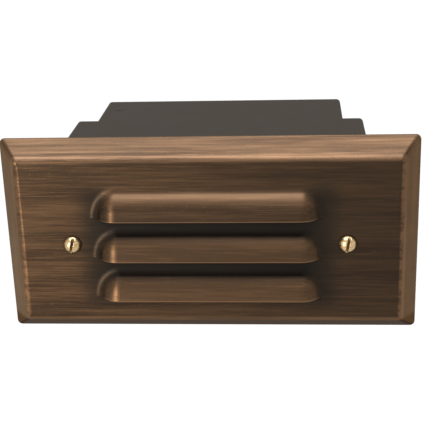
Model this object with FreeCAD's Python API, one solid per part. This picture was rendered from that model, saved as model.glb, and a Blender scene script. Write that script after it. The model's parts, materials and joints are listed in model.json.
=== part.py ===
"""Recessed step light: bevelled brass faceplate with three hooded louvres over a moulded wall box.

Frame, in millimetres: the origin is the middle of the wall plane that the faceplate's rim and the
box's flange seat on.  +X runs to the right seen from the front, +Y into the wall and +Z up, so the
front of the light faces -Y.
"""

import FreeCAD, Part
import math
import os

V = FreeCAD.Vector
INTO_WALL = V(0, 1, 0)
UP = V(0, 0, 1)
SIDES = (-1, 1)
OVERRUN = 1.0  # how far a cutter runs past the surface that it opens

# ---- driving dimensions: faceplate ----
PLATE_WIDTH = 181.0
PLATE_HEIGHT = 88.9
PLATE_DEPTH = 10.5  # wall plane to the front face
PLATE_WALL = 2.4
BEVEL_INSET = 7.6  # how far the bevel runs in over its depth
RIM_LAND = 0.9  # straight edge behind the bevel
FACE_EDGE_RADIUS = 4.0
MITRE_RADIUS = 3.0
SEAL_RIB_WIDTH = 2.0

# ---- driving dimensions: louvres ----
LOUVRE_COUNT = 3
LOUVRE_PITCH = 18.5
LOUVRE_DROP = 1.0  # the group's middle below the plate's
LOUVRE_SIDE_MARGIN = 42.0  # plate edge to the foot of a hood
HOOD_HEIGHT = 13.3
HOOD_REACH = 6.0
HOOD_ROUND = 10.0  # radius of a hood's ends seen from above
HOOD_WALL = 1.5
HOOD_BLEND = 5.0
HOOD_PATCH = 4.6  # plate round a hood that its blend runs out on
LIP_RADIUS = 0.4

# ---- driving dimensions: wall box ----
BOX_SIDE_MARGIN = 19.9  # plate edge to the box's side
BOX_TOP_MARGIN = 12.15  # plate edge to the box's top
BOX_DEPTH = 109.5
FRONT_SECTION_DEPTH = 71.7
SIDE_STEP = 9.6  # how far each side steps in behind the front section
BOX_WALL = 2.4
BOX_EDGE_RADIUS = 2.0
BOX_CORE_RADIUS = 1.0
FLANGE_OVERHANG = 5.5
FLANGE_THICKNESS = 3.0
FLANGE_CORNER = 5.0
EJECTOR_MARK_RADIUS = 1.9
EJECTOR_MARK_HEIGHT = 0.15
EJECTOR_MARK_INSET = 8.2  # from the rear section's side
EJECTOR_MARK_SETBACK = 17.6  # from the box's rear
WEEP_HOLE_RADIUS = 2.5
WEEP_HOLE_X = 30.0
WEEP_HOLE_Y = 14.0
WALL_HOLE_RADIUS = 2.5
WALL_HOLE_SPACING = 96.0
WALL_HOLE_HEIGHT = 19.0
WALL_HOLE_COLLAR = 2.4
WALL_HOLE_COLLAR_RISE = 1.6

# ---- driving dimensions: faceplate screws and their seats ----
SCREW_INSET = 10.8  # box side to the screw's axis
SCREW_DROP = 1.2  # below the plate's middle
SCREW_RADIUS = 2.05
SCREW_LENGTH = 19.0
SCREW_POINT = 0.8
SCREW_HEAD_RADIUS = 3.95
SCREW_HEAD_HEIGHT = 2.8
SCREW_HEAD_EDGE = 0.35
SCREW_SLOT_WIDTH = 1.2
SCREW_SLOT_DEPTH = 1.5
SCREW_SLOT_ANGLES = {"left": 13.0, "right": 11.0}  # the slot's top leans to the right
SEAL_RING_SECTION = 0.62
SEAL_RING_SQUASH = 0.9
BOSS_WALL = 2.0
INSERT_WALL = 1.1
INSERT_LENGTH = 9.5
INSERT_RECESS = 0.4
INSERT_GROOVE = 0.35
INSERT_BANDS = 5  # alternately full and grooved
BOX_BOSS_LENGTH = 21.0
BOSS_WEB = 3.0
GASKET_THICKNESS = 2.0
GASKET_MARGIN = 0.5

# ---- driving dimensions: lens ----
LENS_THICKNESS = 3.0
LENS_OVERLAP = 3.6  # glass past the louvre openings, on each side
LENS_CORNER = 3.0
LENS_ARRIS = 0.3
LENS_GASKET_THICKNESS = 1.0
LENS_GASKET_LAP = 2.4
LENS_POCKET_WALL = 1.2
CLIP_THICKNESS = 0.6
CLIP_WIDTH = 7.0
CLIP_LAP = 4.0
CLIP_HEIGHT = 19.0  # above and below the plate's middle
CLIP_BOSS_RADIUS = 2.9

# ---- driving dimensions: lamp, lampholder and reflector ----
LAMP_PIN_SPACING = 6.35
LAMP_PIN_RADIUS = 0.625
LAMP_PIN_LENGTH = 7.5
LAMP_BULB_RADIUS = 5.8
LAMP_BULB_LENGTH = 24.0
LAMP_GLASS = 1.0
LAMP_SHOULDER = 2.3
LAMP_PINCH_LENGTH = 9.0
LAMP_PINCH_WIDTH = 10.0
LAMP_PINCH_DEPTH = 4.4
FILAMENT_RADIUS = 0.6
FILAMENT_LEG_RADIUS = 0.3
HOLDER_WIDTH = 25.0
HOLDER_HEIGHT = 12.0
HOLDER_DEPTH = 14.0
HOLDER_SCREW_SPACING = 17.0
HOLDER_SCREW_SUNK = 3.0  # holder's front to its screws' seats
HOLDER_EDGE = 0.6
CONTACT_WALL = 0.5
CONTACT_TAIL = 3.0
REFLECTOR_FRONT = 40.0  # its wings' front edge, behind the wall plane
REFLECTOR_SHEET = 1.0
REFLECTOR_FLAT_HEIGHT = 40.0
REFLECTOR_WING_GAP = 1.4  # wing tip to the box's roof and floor
REFLECTOR_BOSS_RISE = 6.0
REFLECTOR_BOSS_RADIUS = 3.4
REFLECTOR_SCREW_HEIGHT = 12.0
HOLDER_STAND_PROUD = 2.3  # the holder's front past the reflector's flat
BRACKET_SHEET = 1.2
BRACKET_WIDTH = 14.0
BRACKET_PLATFORM = 32.0
BRACKET_FOOT = 12.0
BRACKET_BEND = 1.5
BRACKET_BOSS_RISE = 6.0
BRACKET_BOSS_RADIUS = 4.2

# ---- driving dimensions: small screws ----
SMALL_SCREW_RADIUS = 1.5
SMALL_SCREW_HEAD_RADIUS = 2.8
SMALL_SCREW_HEAD_HEIGHT = 2.0
SMALL_SCREW_CROWN = 0.7
SMALL_SCREW_LENGTH = 7.0
SMALL_SLOT_WIDTH = 0.8
SMALL_SLOT_DEPTH = 0.9
NUT_ACROSS_FLATS = 5.5
NUT_THICKNESS = 2.4

# ---- driving dimensions: terminal block and leads ----
BLOCK_X = 40.0
BLOCK_Z = -10.0
BLOCK_POLE_PITCH = 12.0
BLOCK_LENGTH = 17.0  # along Z, the way the wires enter
BLOCK_DEPTH = 13.0
BLOCK_BASE = 3.0
BLOCK_PEDESTAL = 5.0
BARREL_RADIUS = 2.1
BARREL_LENGTH = 13.0
BARREL_BORE = 1.35
CLAMP_SCREW_SPACING = 7.0
CLAMP_SCREW_RADIUS = 1.2
LEAD_RADIUS = 1.1
LEAD_RUN_OUT = 10.0  # straight back from the lampholder before the first bend
LEAD_SETBACK = 16.0  # lampholder's tails to the leads' crossing of the bracket
LEAD_SIDE_RUN = 5.0  # sideways over the first rise
LEAD_DROP_RUN = 9.5  # sideways over the last drop
LEAD_CRESTS = {"left": 22.0, "right": 16.0}
LEAD_BEND_SHARE = 0.45  # of the shorter run that meets at a bend
CONDUCTOR_RADIUS = 0.6
STRIP_LENGTH = 5.0

# ---- driving dimensions: cable gland ----
GLAND_X = -41.0
GLAND_Z = -14.0
GLAND_THREAD_RADIUS = 7.9
GLAND_BORE_RADIUS = 4.6
CABLE_RADIUS = 3.5
GLAND_ACROSS_FLATS = 20.0
GLAND_FLANGE = 5.0
GLAND_REAR_THREAD = 8.0
GLAND_WASHER_THICKNESS = 1.5
GLAND_WASHER_RADIUS = 10.6
LOCKNUT_THICKNESS = 4.5
LOCKNUT_ACROSS_FLATS = 22.0
GLAND_SEAL_WALL = 2.65
GLAND_SEAL_LENGTH = 6.6
GLAND_SEAL_PROUD = 0.7
SLIP_WASHER_THICKNESS = 1.0
GLAND_NUT_GAP = 1.0
GLAND_DOME_LENGTH = 4.8

# ---- named clearances ----
RUNNING_FIT = 0.05  # thread or shaft in its hole, per side
HEAD_GAP = 0.05  # soft ring to the metal round it
SEAT_GAP = 0.3  # between curved faces that don't fit together
POCKET_GAP = 0.7  # glass to the pocket round it
HOLDER_GAP = 1.0  # lampholder to the reflector's opening
WALL_HOLE_GAP = 0.2  # gland thread in the box's wall
LIVE_GAP = 1.2  # lampholder's tails to the bracket's window

# ---- places that follow from them ----
FACE_Y = -PLATE_DEPTH
INNER_FACE_Y = FACE_Y + PLATE_WALL
FLANGE_FRONT_Y = -FLANGE_THICKNESS
GASKET_FRONT_Y = FLANGE_FRONT_Y - GASKET_THICKNESS
BEVEL_SLOPE = BEVEL_INSET / (PLATE_DEPTH - RIM_LAND)
BEVEL_WALL = PLATE_WALL * math.hypot(1.0, BEVEL_SLOPE)

HOOD_HALF = PLATE_WIDTH / 2 - LOUVRE_SIDE_MARGIN
HOOD_AXIS_Y = HOOD_ROUND - HOOD_REACH  # the ends' axis, behind the plate's front
HOOD_AXIS_X = HOOD_HALF - math.sqrt(HOOD_ROUND**2 - HOOD_AXIS_Y**2)
GROUP_HEIGHT = LOUVRE_PITCH * (LOUVRE_COUNT - 1) + HOOD_HEIGHT
TOP_LIP_Z = GROUP_HEIGHT / 2 - HOOD_HEIGHT - LOUVRE_DROP
LIP_HEIGHTS = [TOP_LIP_Z - LOUVRE_PITCH * k for k in range(LOUVRE_COUNT)]

BOX_WIDTH = PLATE_WIDTH - 2 * BOX_SIDE_MARGIN
BOX_HEIGHT = PLATE_HEIGHT - 2 * BOX_TOP_MARGIN
REAR_WIDTH = BOX_WIDTH - 2 * SIDE_STEP
OPENING_WIDTH = BOX_WIDTH - 2 * BOX_WALL
OPENING_HEIGHT = BOX_HEIGHT - 2 * BOX_WALL
FLANGE_WIDTH = BOX_WIDTH + 2 * FLANGE_OVERHANG
FLANGE_HEIGHT = BOX_HEIGHT + 2 * FLANGE_OVERHANG
LEDGE_Y = FRONT_SECTION_DEPTH - BOX_WALL
REAR_INNER_Y = BOX_DEPTH - BOX_WALL

SCREW_X = BOX_WIDTH / 2 - SCREW_INSET
SCREW_Z = -SCREW_DROP
BOSS_RADIUS = SCREW_RADIUS + INSERT_WALL + BOSS_WALL
INSERT_RADIUS = SCREW_RADIUS + RUNNING_FIT + INSERT_WALL

LENS_HALF_WIDTH = HOOD_HALF - HOOD_WALL + LENS_OVERLAP
LENS_HALF_HEIGHT = GROUP_HEIGHT / 2 + LENS_OVERLAP
LENS_FRONT_Y = INNER_FACE_Y + LENS_GASKET_THICKNESS
LENS_REAR_Y = LENS_FRONT_Y + LENS_THICKNESS
CLIP_X = LENS_HALF_WIDTH + POCKET_GAP + LENS_POCKET_WALL + CLIP_BOSS_RADIUS

REFLECTOR_REAR_Y = LEDGE_Y - REFLECTOR_BOSS_RISE
REFLECTOR_FRONT_FACE_Y = REFLECTOR_REAR_Y - REFLECTOR_SHEET
REFLECTOR_SCREW_X = OPENING_WIDTH / 2 - SIDE_STEP / 2
HOLDER_FRONT_Y = REFLECTOR_FRONT_FACE_Y - HOLDER_STAND_PROUD
HOLDER_REAR_Y = HOLDER_FRONT_Y + HOLDER_DEPTH
BRACKET_FOOT_Y = REAR_INNER_Y - BRACKET_BOSS_RISE
BRACKET_SCREW_X = BRACKET_PLATFORM / 2 + BRACKET_FOOT / 2
CONTACT_HOLE_RADIUS = LAMP_PIN_RADIUS + RUNNING_FIT + CONTACT_WALL + RUNNING_FIT
PIN_XS = [side * LAMP_PIN_SPACING / 2 for side in SIDES]
LAMP_SEAT_Y = HOLDER_FRONT_Y - SEAT_GAP
LAMP_PINCH_END_Y = LAMP_SEAT_Y - LAMP_PINCH_LENGTH
LAMP_TIP_Y = LAMP_PINCH_END_Y - LAMP_BULB_LENGTH
FILAMENT_Y = (LAMP_PINCH_END_Y + LAMP_TIP_Y) / 2

BLOCK_REAR_Y = REAR_INNER_Y - BLOCK_PEDESTAL
BLOCK_FRONT_Y = BLOCK_REAR_Y - BLOCK_DEPTH
BARREL_Y = BLOCK_REAR_Y - BLOCK_BASE - BARREL_RADIUS - SEAT_GAP
POLE_XS = [BLOCK_X + side * BLOCK_POLE_PITCH / 2 for side in SIDES]

GLAND_SEAT_Y = BOX_DEPTH + GLAND_WASHER_THICKNESS
GLAND_HEX_END_Y = GLAND_SEAT_Y + GLAND_FLANGE
GLAND_THREAD_END_Y = GLAND_HEX_END_Y + GLAND_REAR_THREAD
SEAL_END_Y = GLAND_THREAD_END_Y + GLAND_SEAL_PROUD
SLIP_WASHER_END_Y = SEAL_END_Y + SLIP_WASHER_THICKNESS
SEAL_RADIUS = CABLE_RADIUS + GLAND_SEAL_WALL


# ---- shapes used by several pieces ----
def rod(x, z, radius, y0, y1):
    """A cylinder along Y."""
    return Part.makeCylinder(radius, y1 - y0, V(x, y0, z), INTO_WALL)


def tube(x, z, outer, inner, y0, y1):
    """A round sleeve along Y."""
    return rod(x, z, outer, y0, y1).cut(rod(x, z, inner, y0 - OVERRUN, y1 + OVERRUN))


def box(x0, x1, y0, y1, z0, z1):
    return Part.makeBox(x1 - x0, y1 - y0, z1 - z0, V(x0, y0, z0))


def panel(width, height, y0, y1, corner=0.0):
    """A flat rectangular block centred on the Y axis, with rounded corners where asked."""
    block = box(-width / 2, width / 2, y0, y1, -height / 2, height / 2)
    if not corner:
        return block
    return block.makeFillet(corner, edges_along(block, INTO_WALL))


def ring_panel(outer, inner, y0, y1, corner, inner_corner):
    """A rectangular frame: outer and inner are (width, height)."""
    hole = panel(inner[0], inner[1], y0 - OVERRUN, y1 + OVERRUN, inner_corner)
    return panel(outer[0], outer[1], y0, y1, corner).cut(hole)


def hexagon(x, z, across_flats, y0, y1):
    """A hexagonal prism along Y."""
    reach = across_flats / math.sqrt(3)
    turns = [math.radians(60 * k) for k in range(7)]
    ring = Part.makePolygon([V(x + reach * math.cos(a), y0, z + reach * math.sin(a)) for a in turns])
    return Part.Face(ring).extrude(V(0, y1 - y0, 0))


def spun(x, z, profile):
    """The closed outline of (radius, y) points turned about the line along Y at x, z."""
    points = [V(x + r, y, z) for r, y in profile]
    face = Part.Face(Part.makePolygon(points + points[:1]))
    return face.revolve(V(x, 0, z), INTO_WALL, 360)


def edges_along(shape, direction):
    """The straight edges that run along a direction."""
    found = []
    for edge in shape.Edges:
        if isinstance(edge.Curve, Part.Line) and abs(abs(edge.Curve.Direction.dot(direction)) - 1) < 1e-6:
            found.append(edge)
    return found


def edges_on_plane(shape, normal, distance):
    """The edges that lie whole in one plane."""
    def on_plane(edge):
        points = [v.Point for v in edge.Vertexes] + [edge.CenterOfMass]
        return all(abs(point.dot(normal) - distance) < 1e-5 for point in points)

    return [edge for edge in shape.Edges if not edge.Degenerated and on_plane(edge)]


def bent_sheet(path, thickness, width_direction, width, bend):
    """A sheet bent along a path of points in a plane, its thickness on the path's left, then its
    width both ways from that plane.  The inside of each bend has the bend radius."""
    lefts = []
    for start, end in zip(path, path[1:]):
        along = (end - start).normalize()
        lefts.append(width_direction.cross(along))
    offset = [path[0] + lefts[0] * thickness]
    for before, after, point in zip(lefts, lefts[1:], path[1:]):
        middle = before + after
        offset.append(point + middle * (2 * thickness / middle.dot(middle)))
    offset.append(path[-1] + lefts[-1] * thickness)
    outline = [p - width_direction * (width / 2) for p in path + offset[::-1]]
    sheet = Part.Face(Part.makePolygon(outline + outline[:1])).extrude(width_direction * width)
    for before, near, after, far in zip(path, path[1:], path[2:], offset[1:]):
        turn = (near - before).cross(after - near).dot(width_direction)
        inner, outer = (far, near) if turn > 0 else (near, far)
        for corner, radius in ((inner, bend), (outer, bend + thickness)):
            edges = [
                e for e in edges_along(sheet, width_direction)
                if (e.CenterOfMass - corner).cross(width_direction).Length < 1e-4
            ]
            sheet = sheet.makeFillet(radius, edges)
    return sheet


def small_screw(x, z, seat_y, facing, length=SMALL_SCREW_LENGTH):
    """A slotted cheese head screw: its head sits on seat_y and its shank runs along facing (+1 or -1)."""
    def span(a, b):
        return min(seat_y + facing * a, seat_y + facing * b), max(seat_y + facing * a, seat_y + facing * b)

    head = rod(x, z, SMALL_SCREW_HEAD_RADIUS, *span(-SMALL_SCREW_HEAD_HEIGHT, 0))
    crown = edges_on_plane(head, INTO_WALL, seat_y - facing * SMALL_SCREW_HEAD_HEIGHT)
    head = head.makeChamfer(SMALL_SCREW_CROWN, crown)
    slot = span(-SMALL_SCREW_HEAD_HEIGHT - OVERRUN, SMALL_SLOT_DEPTH - SMALL_SCREW_HEAD_HEIGHT)
    reach = SMALL_SCREW_HEAD_RADIUS + OVERRUN
    half_slot = SMALL_SLOT_WIDTH / 2
    head = head.cut(box(x - reach, x + reach, *slot, z - half_slot, z + half_slot))
    return head.fuse(rod(x, z, SMALL_SCREW_RADIUS, *span(0, length))).removeSplitter()


# ---- faceplate ----
def frustum(width, height, y0, y1, slope):
    """A block that narrows towards -Y: width and height are those at y1."""
    wires = []
    for y in (y1, y0):
        inset = slope * (y1 - y)
        x, z = width / 2 - inset, height / 2 - inset
        corners = [V(-x, y, -z), V(x, y, -z), V(x, y, z), V(-x, y, z)]
        wires.append(Part.makePolygon(corners + corners[:1]))
    return Part.makeLoft(wires, True, True)


def bevelled_blank():
    """The outer form of the faceplate, filled in."""
    blank = frustum(PLATE_WIDTH, PLATE_HEIGHT, FACE_Y, -RIM_LAND, BEVEL_SLOPE)
    front = edges_on_plane(blank, INTO_WALL, FACE_Y)
    rear = edges_on_plane(blank, INTO_WALL, -RIM_LAND)
    mitres = [e for e in blank.Edges if not any(e.isSame(o) for o in front + rear)]
    blank = blank.makeFillet(MITRE_RADIUS, mitres)
    blank = blank.makeFillet(FACE_EDGE_RADIUS, edges_on_plane(blank, INTO_WALL, FACE_Y))
    land = [f for f in blank.Faces if abs(f.CenterOfMass.y + RIM_LAND) < 1e-6]
    return blank.fuse(land[0].extrude(V(0, RIM_LAND, 0))).removeSplitter()


def bump(inset):
    """The ridge that a hood is cut from: half an ellipse swept along the plate and turned about an
    upright axis at each end, all of it in front of the plane y = 0 and smaller by the inset."""
    height, radius = HOOD_HEIGHT - inset, HOOD_ROUND - inset
    long_way, short_way = V(0, HOOD_AXIS_Y, height), V(0, HOOD_AXIS_Y - radius, 0)
    section = Part.Ellipse(long_way, short_way, V(0, HOOD_AXIS_Y, 0))
    oval = Part.Face(Part.Wire([section.toShape()]))
    front = box(-PLATE_WIDTH, PLATE_WIDTH, -2 * HOOD_REACH, HOOD_AXIS_Y, -2 * height, 2 * height)
    half_oval = oval.common(front)
    dome = half_oval.revolve(V(0, HOOD_AXIS_Y, 0), UP, 360)
    ridge = oval.extrude(V(2 * HOOD_AXIS_X, 0, 0)).translated(V(-HOOD_AXIS_X, 0, 0))
    ridge = ridge.fuse([dome.translated(V(side * HOOD_AXIS_X, 0, 0)) for side in SIDES])
    proud = box(-PLATE_WIDTH, PLATE_WIDTH, -2 * HOOD_REACH, 0, -2 * height, 2 * height)
    return ridge.removeSplitter().common(proud)


def hood():
    """One louvre hood on its patch of plate: lip at z = 0, the plate's front at y = 0."""
    patch_x, patch_z = HOOD_HALF + HOOD_PATCH, HOOD_HEIGHT + HOOD_PATCH
    patch = box(-patch_x, patch_x, 0, PLATE_WALL, -patch_z, patch_z)
    raised = patch.fuse(bump(0)).removeSplitter()
    foot = [
        e for e in edges_on_plane(raised, INTO_WALL, 0)
        if abs(e.CenterOfMass.x) < HOOD_HALF and abs(e.CenterOfMass.z) < HOOD_HEIGHT + LIP_RADIUS
    ]
    raised = raised.makeFillet(HOOD_BLEND, foot)
    raised = raised.cut(box(-2 * patch_x, 2 * patch_x, -2 * HOOD_REACH, 2 * HOOD_REACH, -2 * patch_z, 0))
    lip = [e for e in edges_on_plane(raised, UP, 0) if e.CenterOfMass.y < -LIP_RADIUS]
    return raised.makeFillet(LIP_RADIUS, lip)


def throat():
    """The space inside one hood, run on through the plate behind it."""
    upper = box(-HOOD_HALF, HOOD_HALF, -2 * HOOD_REACH, 0, 0, 2 * HOOD_HEIGHT)
    inside = bump(HOOD_WALL).common(upper)
    back = [f for f in inside.Faces if abs(f.CenterOfMass.y) < 1e-6 and abs(f.normalAt(0, 0).y) > 0.999]
    return inside.fuse(back[0].extrude(V(0, PLATE_WALL + OVERRUN, 0)))


def seal_ring_seat(x):
    """The counterbore under a screw's head that holds its seal ring."""
    depth = 2 * SEAL_RING_SECTION * SEAL_RING_SQUASH
    radius = SCREW_RADIUS + 2 * HEAD_GAP + 2 * SEAL_RING_SECTION + HEAD_GAP
    return rod(x, SCREW_Z, radius, FACE_Y - OVERRUN, FACE_Y + depth + 2 * HEAD_GAP)


def make_faceplate():
    inner_width = PLATE_WIDTH - 2 * BEVEL_WALL
    inner_height = PLATE_HEIGHT - 2 * BEVEL_WALL
    plate = bevelled_blank().cut(
        frustum(inner_width, inner_height, INNER_FACE_Y, -RIM_LAND, BEVEL_SLOPE)
    )
    plate = plate.cut(panel(inner_width, inner_height, -RIM_LAND, OVERRUN))
    rib_width = (OPENING_WIDTH + FLANGE_WIDTH) / 2
    rib_height = (OPENING_HEIGHT + FLANGE_HEIGHT) / 2
    added = [
        ring_panel(
            (rib_width + SEAL_RIB_WIDTH, rib_height + SEAL_RIB_WIDTH),
            (rib_width - SEAL_RIB_WIDTH, rib_height - SEAL_RIB_WIDTH),
            INNER_FACE_Y, GASKET_FRONT_Y, FLANGE_CORNER, FLANGE_CORNER - SEAL_RIB_WIDTH,
        ),
        lens_pocket(),
    ]
    added += [rod(s * SCREW_X, SCREW_Z, BOSS_RADIUS, INNER_FACE_Y, GASKET_FRONT_Y) for s in SIDES]
    added += [rod(x, z, CLIP_BOSS_RADIUS, INNER_FACE_Y, LENS_REAR_Y) for x, z in clip_places()]
    plate = plate.fuse(added)
    for lip in LIP_HEIGHTS:
        plate = plate.fuse(hood().translated(V(0, FACE_Y, lip)))
    for lip in LIP_HEIGHTS:
        plate = plate.cut(throat().translated(V(0, FACE_Y, lip)))
    holes = [rod(s * SCREW_X, SCREW_Z, SCREW_RADIUS + RUNNING_FIT, FACE_Y - OVERRUN, 0) for s in SIDES]
    holes += [seal_ring_seat(s * SCREW_X) for s in SIDES]
    pilot_end = INNER_FACE_Y - PLATE_WALL / 2
    holes += [
        rod(x, z, SMALL_SCREW_RADIUS + RUNNING_FIT, pilot_end, LENS_REAR_Y + OVERRUN)
        for x, z in clip_places()
    ]
    return plate.cut(holes)


def lens_pocket():
    """The low wall on the back of the plate that keeps the glass from sliding."""
    inner = (2 * (LENS_HALF_WIDTH + POCKET_GAP), 2 * (LENS_HALF_HEIGHT + POCKET_GAP))
    outer = (inner[0] + 2 * LENS_POCKET_WALL, inner[1] + 2 * LENS_POCKET_WALL)
    rise = LENS_REAR_Y - LENS_THICKNESS / 2
    return ring_panel(
        outer, inner, INNER_FACE_Y, rise, LENS_CORNER + POCKET_GAP + LENS_POCKET_WALL,
        LENS_CORNER + POCKET_GAP,
    )


def clip_places():
    return [(side * CLIP_X, level * CLIP_HEIGHT) for side in SIDES for level in SIDES]


def make_lens_gasket():
    inner = (
        2 * (LENS_HALF_WIDTH - LENS_GASKET_LAP),
        2 * (LENS_HALF_HEIGHT - LENS_GASKET_LAP),
    )
    outer = (2 * LENS_HALF_WIDTH, 2 * LENS_HALF_HEIGHT)
    return ring_panel(outer, inner, INNER_FACE_Y, LENS_FRONT_Y, LENS_CORNER, OVERRUN)


def make_lens():
    glass = panel(2 * LENS_HALF_WIDTH, 2 * LENS_HALF_HEIGHT, LENS_FRONT_Y, LENS_REAR_Y, LENS_CORNER)
    rims = edges_on_plane(glass, INTO_WALL, LENS_FRONT_Y) + edges_on_plane(glass, INTO_WALL, LENS_REAR_Y)
    return glass.makeChamfer(LENS_ARRIS, rims)


def make_lens_clips():
    """Four flat spring clips: a foot on the plate's boss, an arm over the glass and a turned-up tip."""
    clips = []
    for x, z in clip_places():
        inward = -math.copysign(1, x)
        foot = x - inward * CLIP_BOSS_RADIUS
        tip = -inward * (LENS_HALF_WIDTH - CLIP_LAP)
        rise = V(inward * CLIP_LAP / 2, CLIP_LAP / 2, 0)
        path = [V(foot, LENS_REAR_Y, z), V(tip, LENS_REAR_Y, z), V(tip, LENS_REAR_Y, z) + rise]
        width_way = UP * inward
        clip = bent_sheet(path, CLIP_THICKNESS, width_way, CLIP_WIDTH, CLIP_THICKNESS)
        hole = rod(x, z, SMALL_SCREW_RADIUS + SEAT_GAP, LENS_REAR_Y - OVERRUN, 0)
        clips.append(clip.cut(hole))
    return Part.makeCompound(clips)


def make_lens_clip_screws():
    seat = LENS_REAR_Y + CLIP_THICKNESS
    length = CLIP_THICKNESS + (LENS_REAR_Y - INNER_FACE_Y)
    return Part.makeCompound([small_screw(x, z, seat, -1, length) for x, z in clip_places()])


# ---- faceplate screws ----
def make_faceplate_screw(side):
    """A slotted round head machine screw, its head against the plate's front."""
    x = side * SCREW_X
    top = FACE_Y - SCREW_HEAD_HEIGHT
    edge = FACE_Y - SCREW_HEAD_EDGE
    shoulder = V(x + SCREW_HEAD_RADIUS, edge, SCREW_Z)
    crown = V(x, top, SCREW_Z)
    rise = SCREW_HEAD_HEIGHT - SCREW_HEAD_EDGE
    lean = math.radians(45)
    middle = V(x + SCREW_HEAD_RADIUS * math.cos(lean), edge - rise * math.sin(lean), SCREW_Z)
    dome = Part.Arc(shoulder, middle, crown).toShape()
    rest = Part.makePolygon([
        crown,
        V(x, FACE_Y + SCREW_LENGTH, SCREW_Z),
        V(x + SCREW_RADIUS - SCREW_POINT, FACE_Y + SCREW_LENGTH, SCREW_Z),
        V(x + SCREW_RADIUS, FACE_Y + SCREW_LENGTH - SCREW_POINT, SCREW_Z),
        V(x + SCREW_RADIUS, FACE_Y, SCREW_Z),
        V(x + SCREW_HEAD_RADIUS, FACE_Y, SCREW_Z),
        shoulder,
    ])
    screw = Part.Face(Part.Wire([dome] + rest.Edges)).revolve(V(x, 0, SCREW_Z), INTO_WALL, 360)
    half = SCREW_HEAD_RADIUS + OVERRUN
    slot = box(
        x - SCREW_SLOT_WIDTH / 2, x + SCREW_SLOT_WIDTH / 2, top - OVERRUN, top + SCREW_SLOT_DEPTH,
        SCREW_Z - half, SCREW_Z + half,
    )
    angle = SCREW_SLOT_ANGLES["left" if side < 0 else "right"]
    slot.rotate(V(x, 0, SCREW_Z), INTO_WALL, angle)
    return screw.cut(slot)


def make_seal_ring(side):
    """The rubber ring that the screw's head presses into its counterbore."""
    ring_y = FACE_Y + SEAL_RING_SECTION * SEAL_RING_SQUASH + HEAD_GAP
    middle_radius = SCREW_RADIUS + HEAD_GAP + SEAL_RING_SECTION
    middle = V(side * SCREW_X + middle_radius, ring_y, SCREW_Z)
    section = Part.Ellipse(
        middle + V(SEAL_RING_SECTION, 0, 0), middle + V(0, SEAL_RING_SECTION * SEAL_RING_SQUASH, 0), middle
    )
    face = Part.Face(Part.Wire([section.toShape()]))
    return face.revolve(V(side * SCREW_X, 0, SCREW_Z), INTO_WALL, 360)


def make_insert(side):
    """The brass thread insert moulded into the box's boss, with two grooves that lock it."""
    y0 = FLANGE_FRONT_Y + INSERT_RECESS
    band = INSERT_LENGTH / INSERT_BANDS
    bore = SCREW_RADIUS + RUNNING_FIT
    waist = INSERT_RADIUS - INSERT_GROOVE
    profile = [(bore, y0)]
    for k in range(INSERT_BANDS):
        radius = waist if k % 2 else INSERT_RADIUS
        profile += [(radius, y0 + band * k), (radius, y0 + band * (k + 1))]
    return spun(side * SCREW_X, SCREW_Z, profile + [(bore, y0 + INSERT_LENGTH)])


# ---- wall box ----
def stepped_block(width, rear_width, height, y0, step_y, y1, radius):
    """A block that steps in at the sides, its edges rounded but for the open front."""
    block = box(-width / 2, width / 2, y0, step_y, -height / 2, height / 2)
    block = block.fuse(box(-rear_width / 2, rear_width / 2, y0, y1, -height / 2, height / 2))
    block = block.removeSplitter()
    front = edges_on_plane(block, INTO_WALL, y0)
    inside = [
        e for e in edges_along(block, UP)
        if abs(e.CenterOfMass.y - step_y) < 1e-6 and abs(abs(e.CenterOfMass.x) - rear_width / 2) < 1e-6
    ]
    kept = front + inside
    return block.makeFillet(radius, [e for e in block.Edges if not any(e.isSame(o) for o in kept)])


def wall_hole_places():
    return [(side * WALL_HOLE_SPACING / 2, WALL_HOLE_HEIGHT) for side in SIDES]


def reflector_screw_places():
    return [(s * REFLECTOR_SCREW_X, level * REFLECTOR_SCREW_HEIGHT) for s in SIDES for level in SIDES]


def pilot(x, z, y0):
    """A screw hole in a boss whose face is at y0."""
    return rod(x, z, SMALL_SCREW_RADIUS + RUNNING_FIT, y0 - OVERRUN, y0 + SMALL_SCREW_LENGTH)


def box_bosses():
    """Everything that stands up inside the box."""
    solids = []
    for side in SIDES:
        x = side * SCREW_X
        wall = side * (BOX_WIDTH - BOX_WALL) / 2
        solids.append(rod(x, SCREW_Z, BOSS_RADIUS, FLANGE_FRONT_Y, BOX_BOSS_LENGTH))
        solids.append(
            box(min(x, wall), max(x, wall), FLANGE_FRONT_Y, BOX_BOSS_LENGTH,
                SCREW_Z - BOSS_WEB, SCREW_Z + BOSS_WEB)
        )
        solids.append(
            rod(side * BRACKET_SCREW_X, 0, BRACKET_BOSS_RADIUS, BRACKET_FOOT_Y, BOX_DEPTH - BOX_WALL / 2)
        )
    ledge = LEDGE_Y + BOX_WALL / 2
    solids += [rod(x, z, REFLECTOR_BOSS_RADIUS, REFLECTOR_REAR_Y, ledge) for x, z in reflector_screw_places()]
    collar_y = REAR_INNER_Y - WALL_HOLE_COLLAR_RISE
    solids += [
        rod(x, z, WALL_HOLE_RADIUS + WALL_HOLE_COLLAR, collar_y, REAR_INNER_Y + BOX_WALL / 2)
        for x, z in wall_hole_places()
    ]
    pedestal = BLOCK_LENGTH / 2 - BOX_WALL
    solids.append(
        box(BLOCK_X - pedestal, BLOCK_X + pedestal, BLOCK_REAR_Y, REAR_INNER_Y + BOX_WALL / 2,
            BLOCK_Z - pedestal, BLOCK_Z + pedestal)
    )
    return solids


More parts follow.
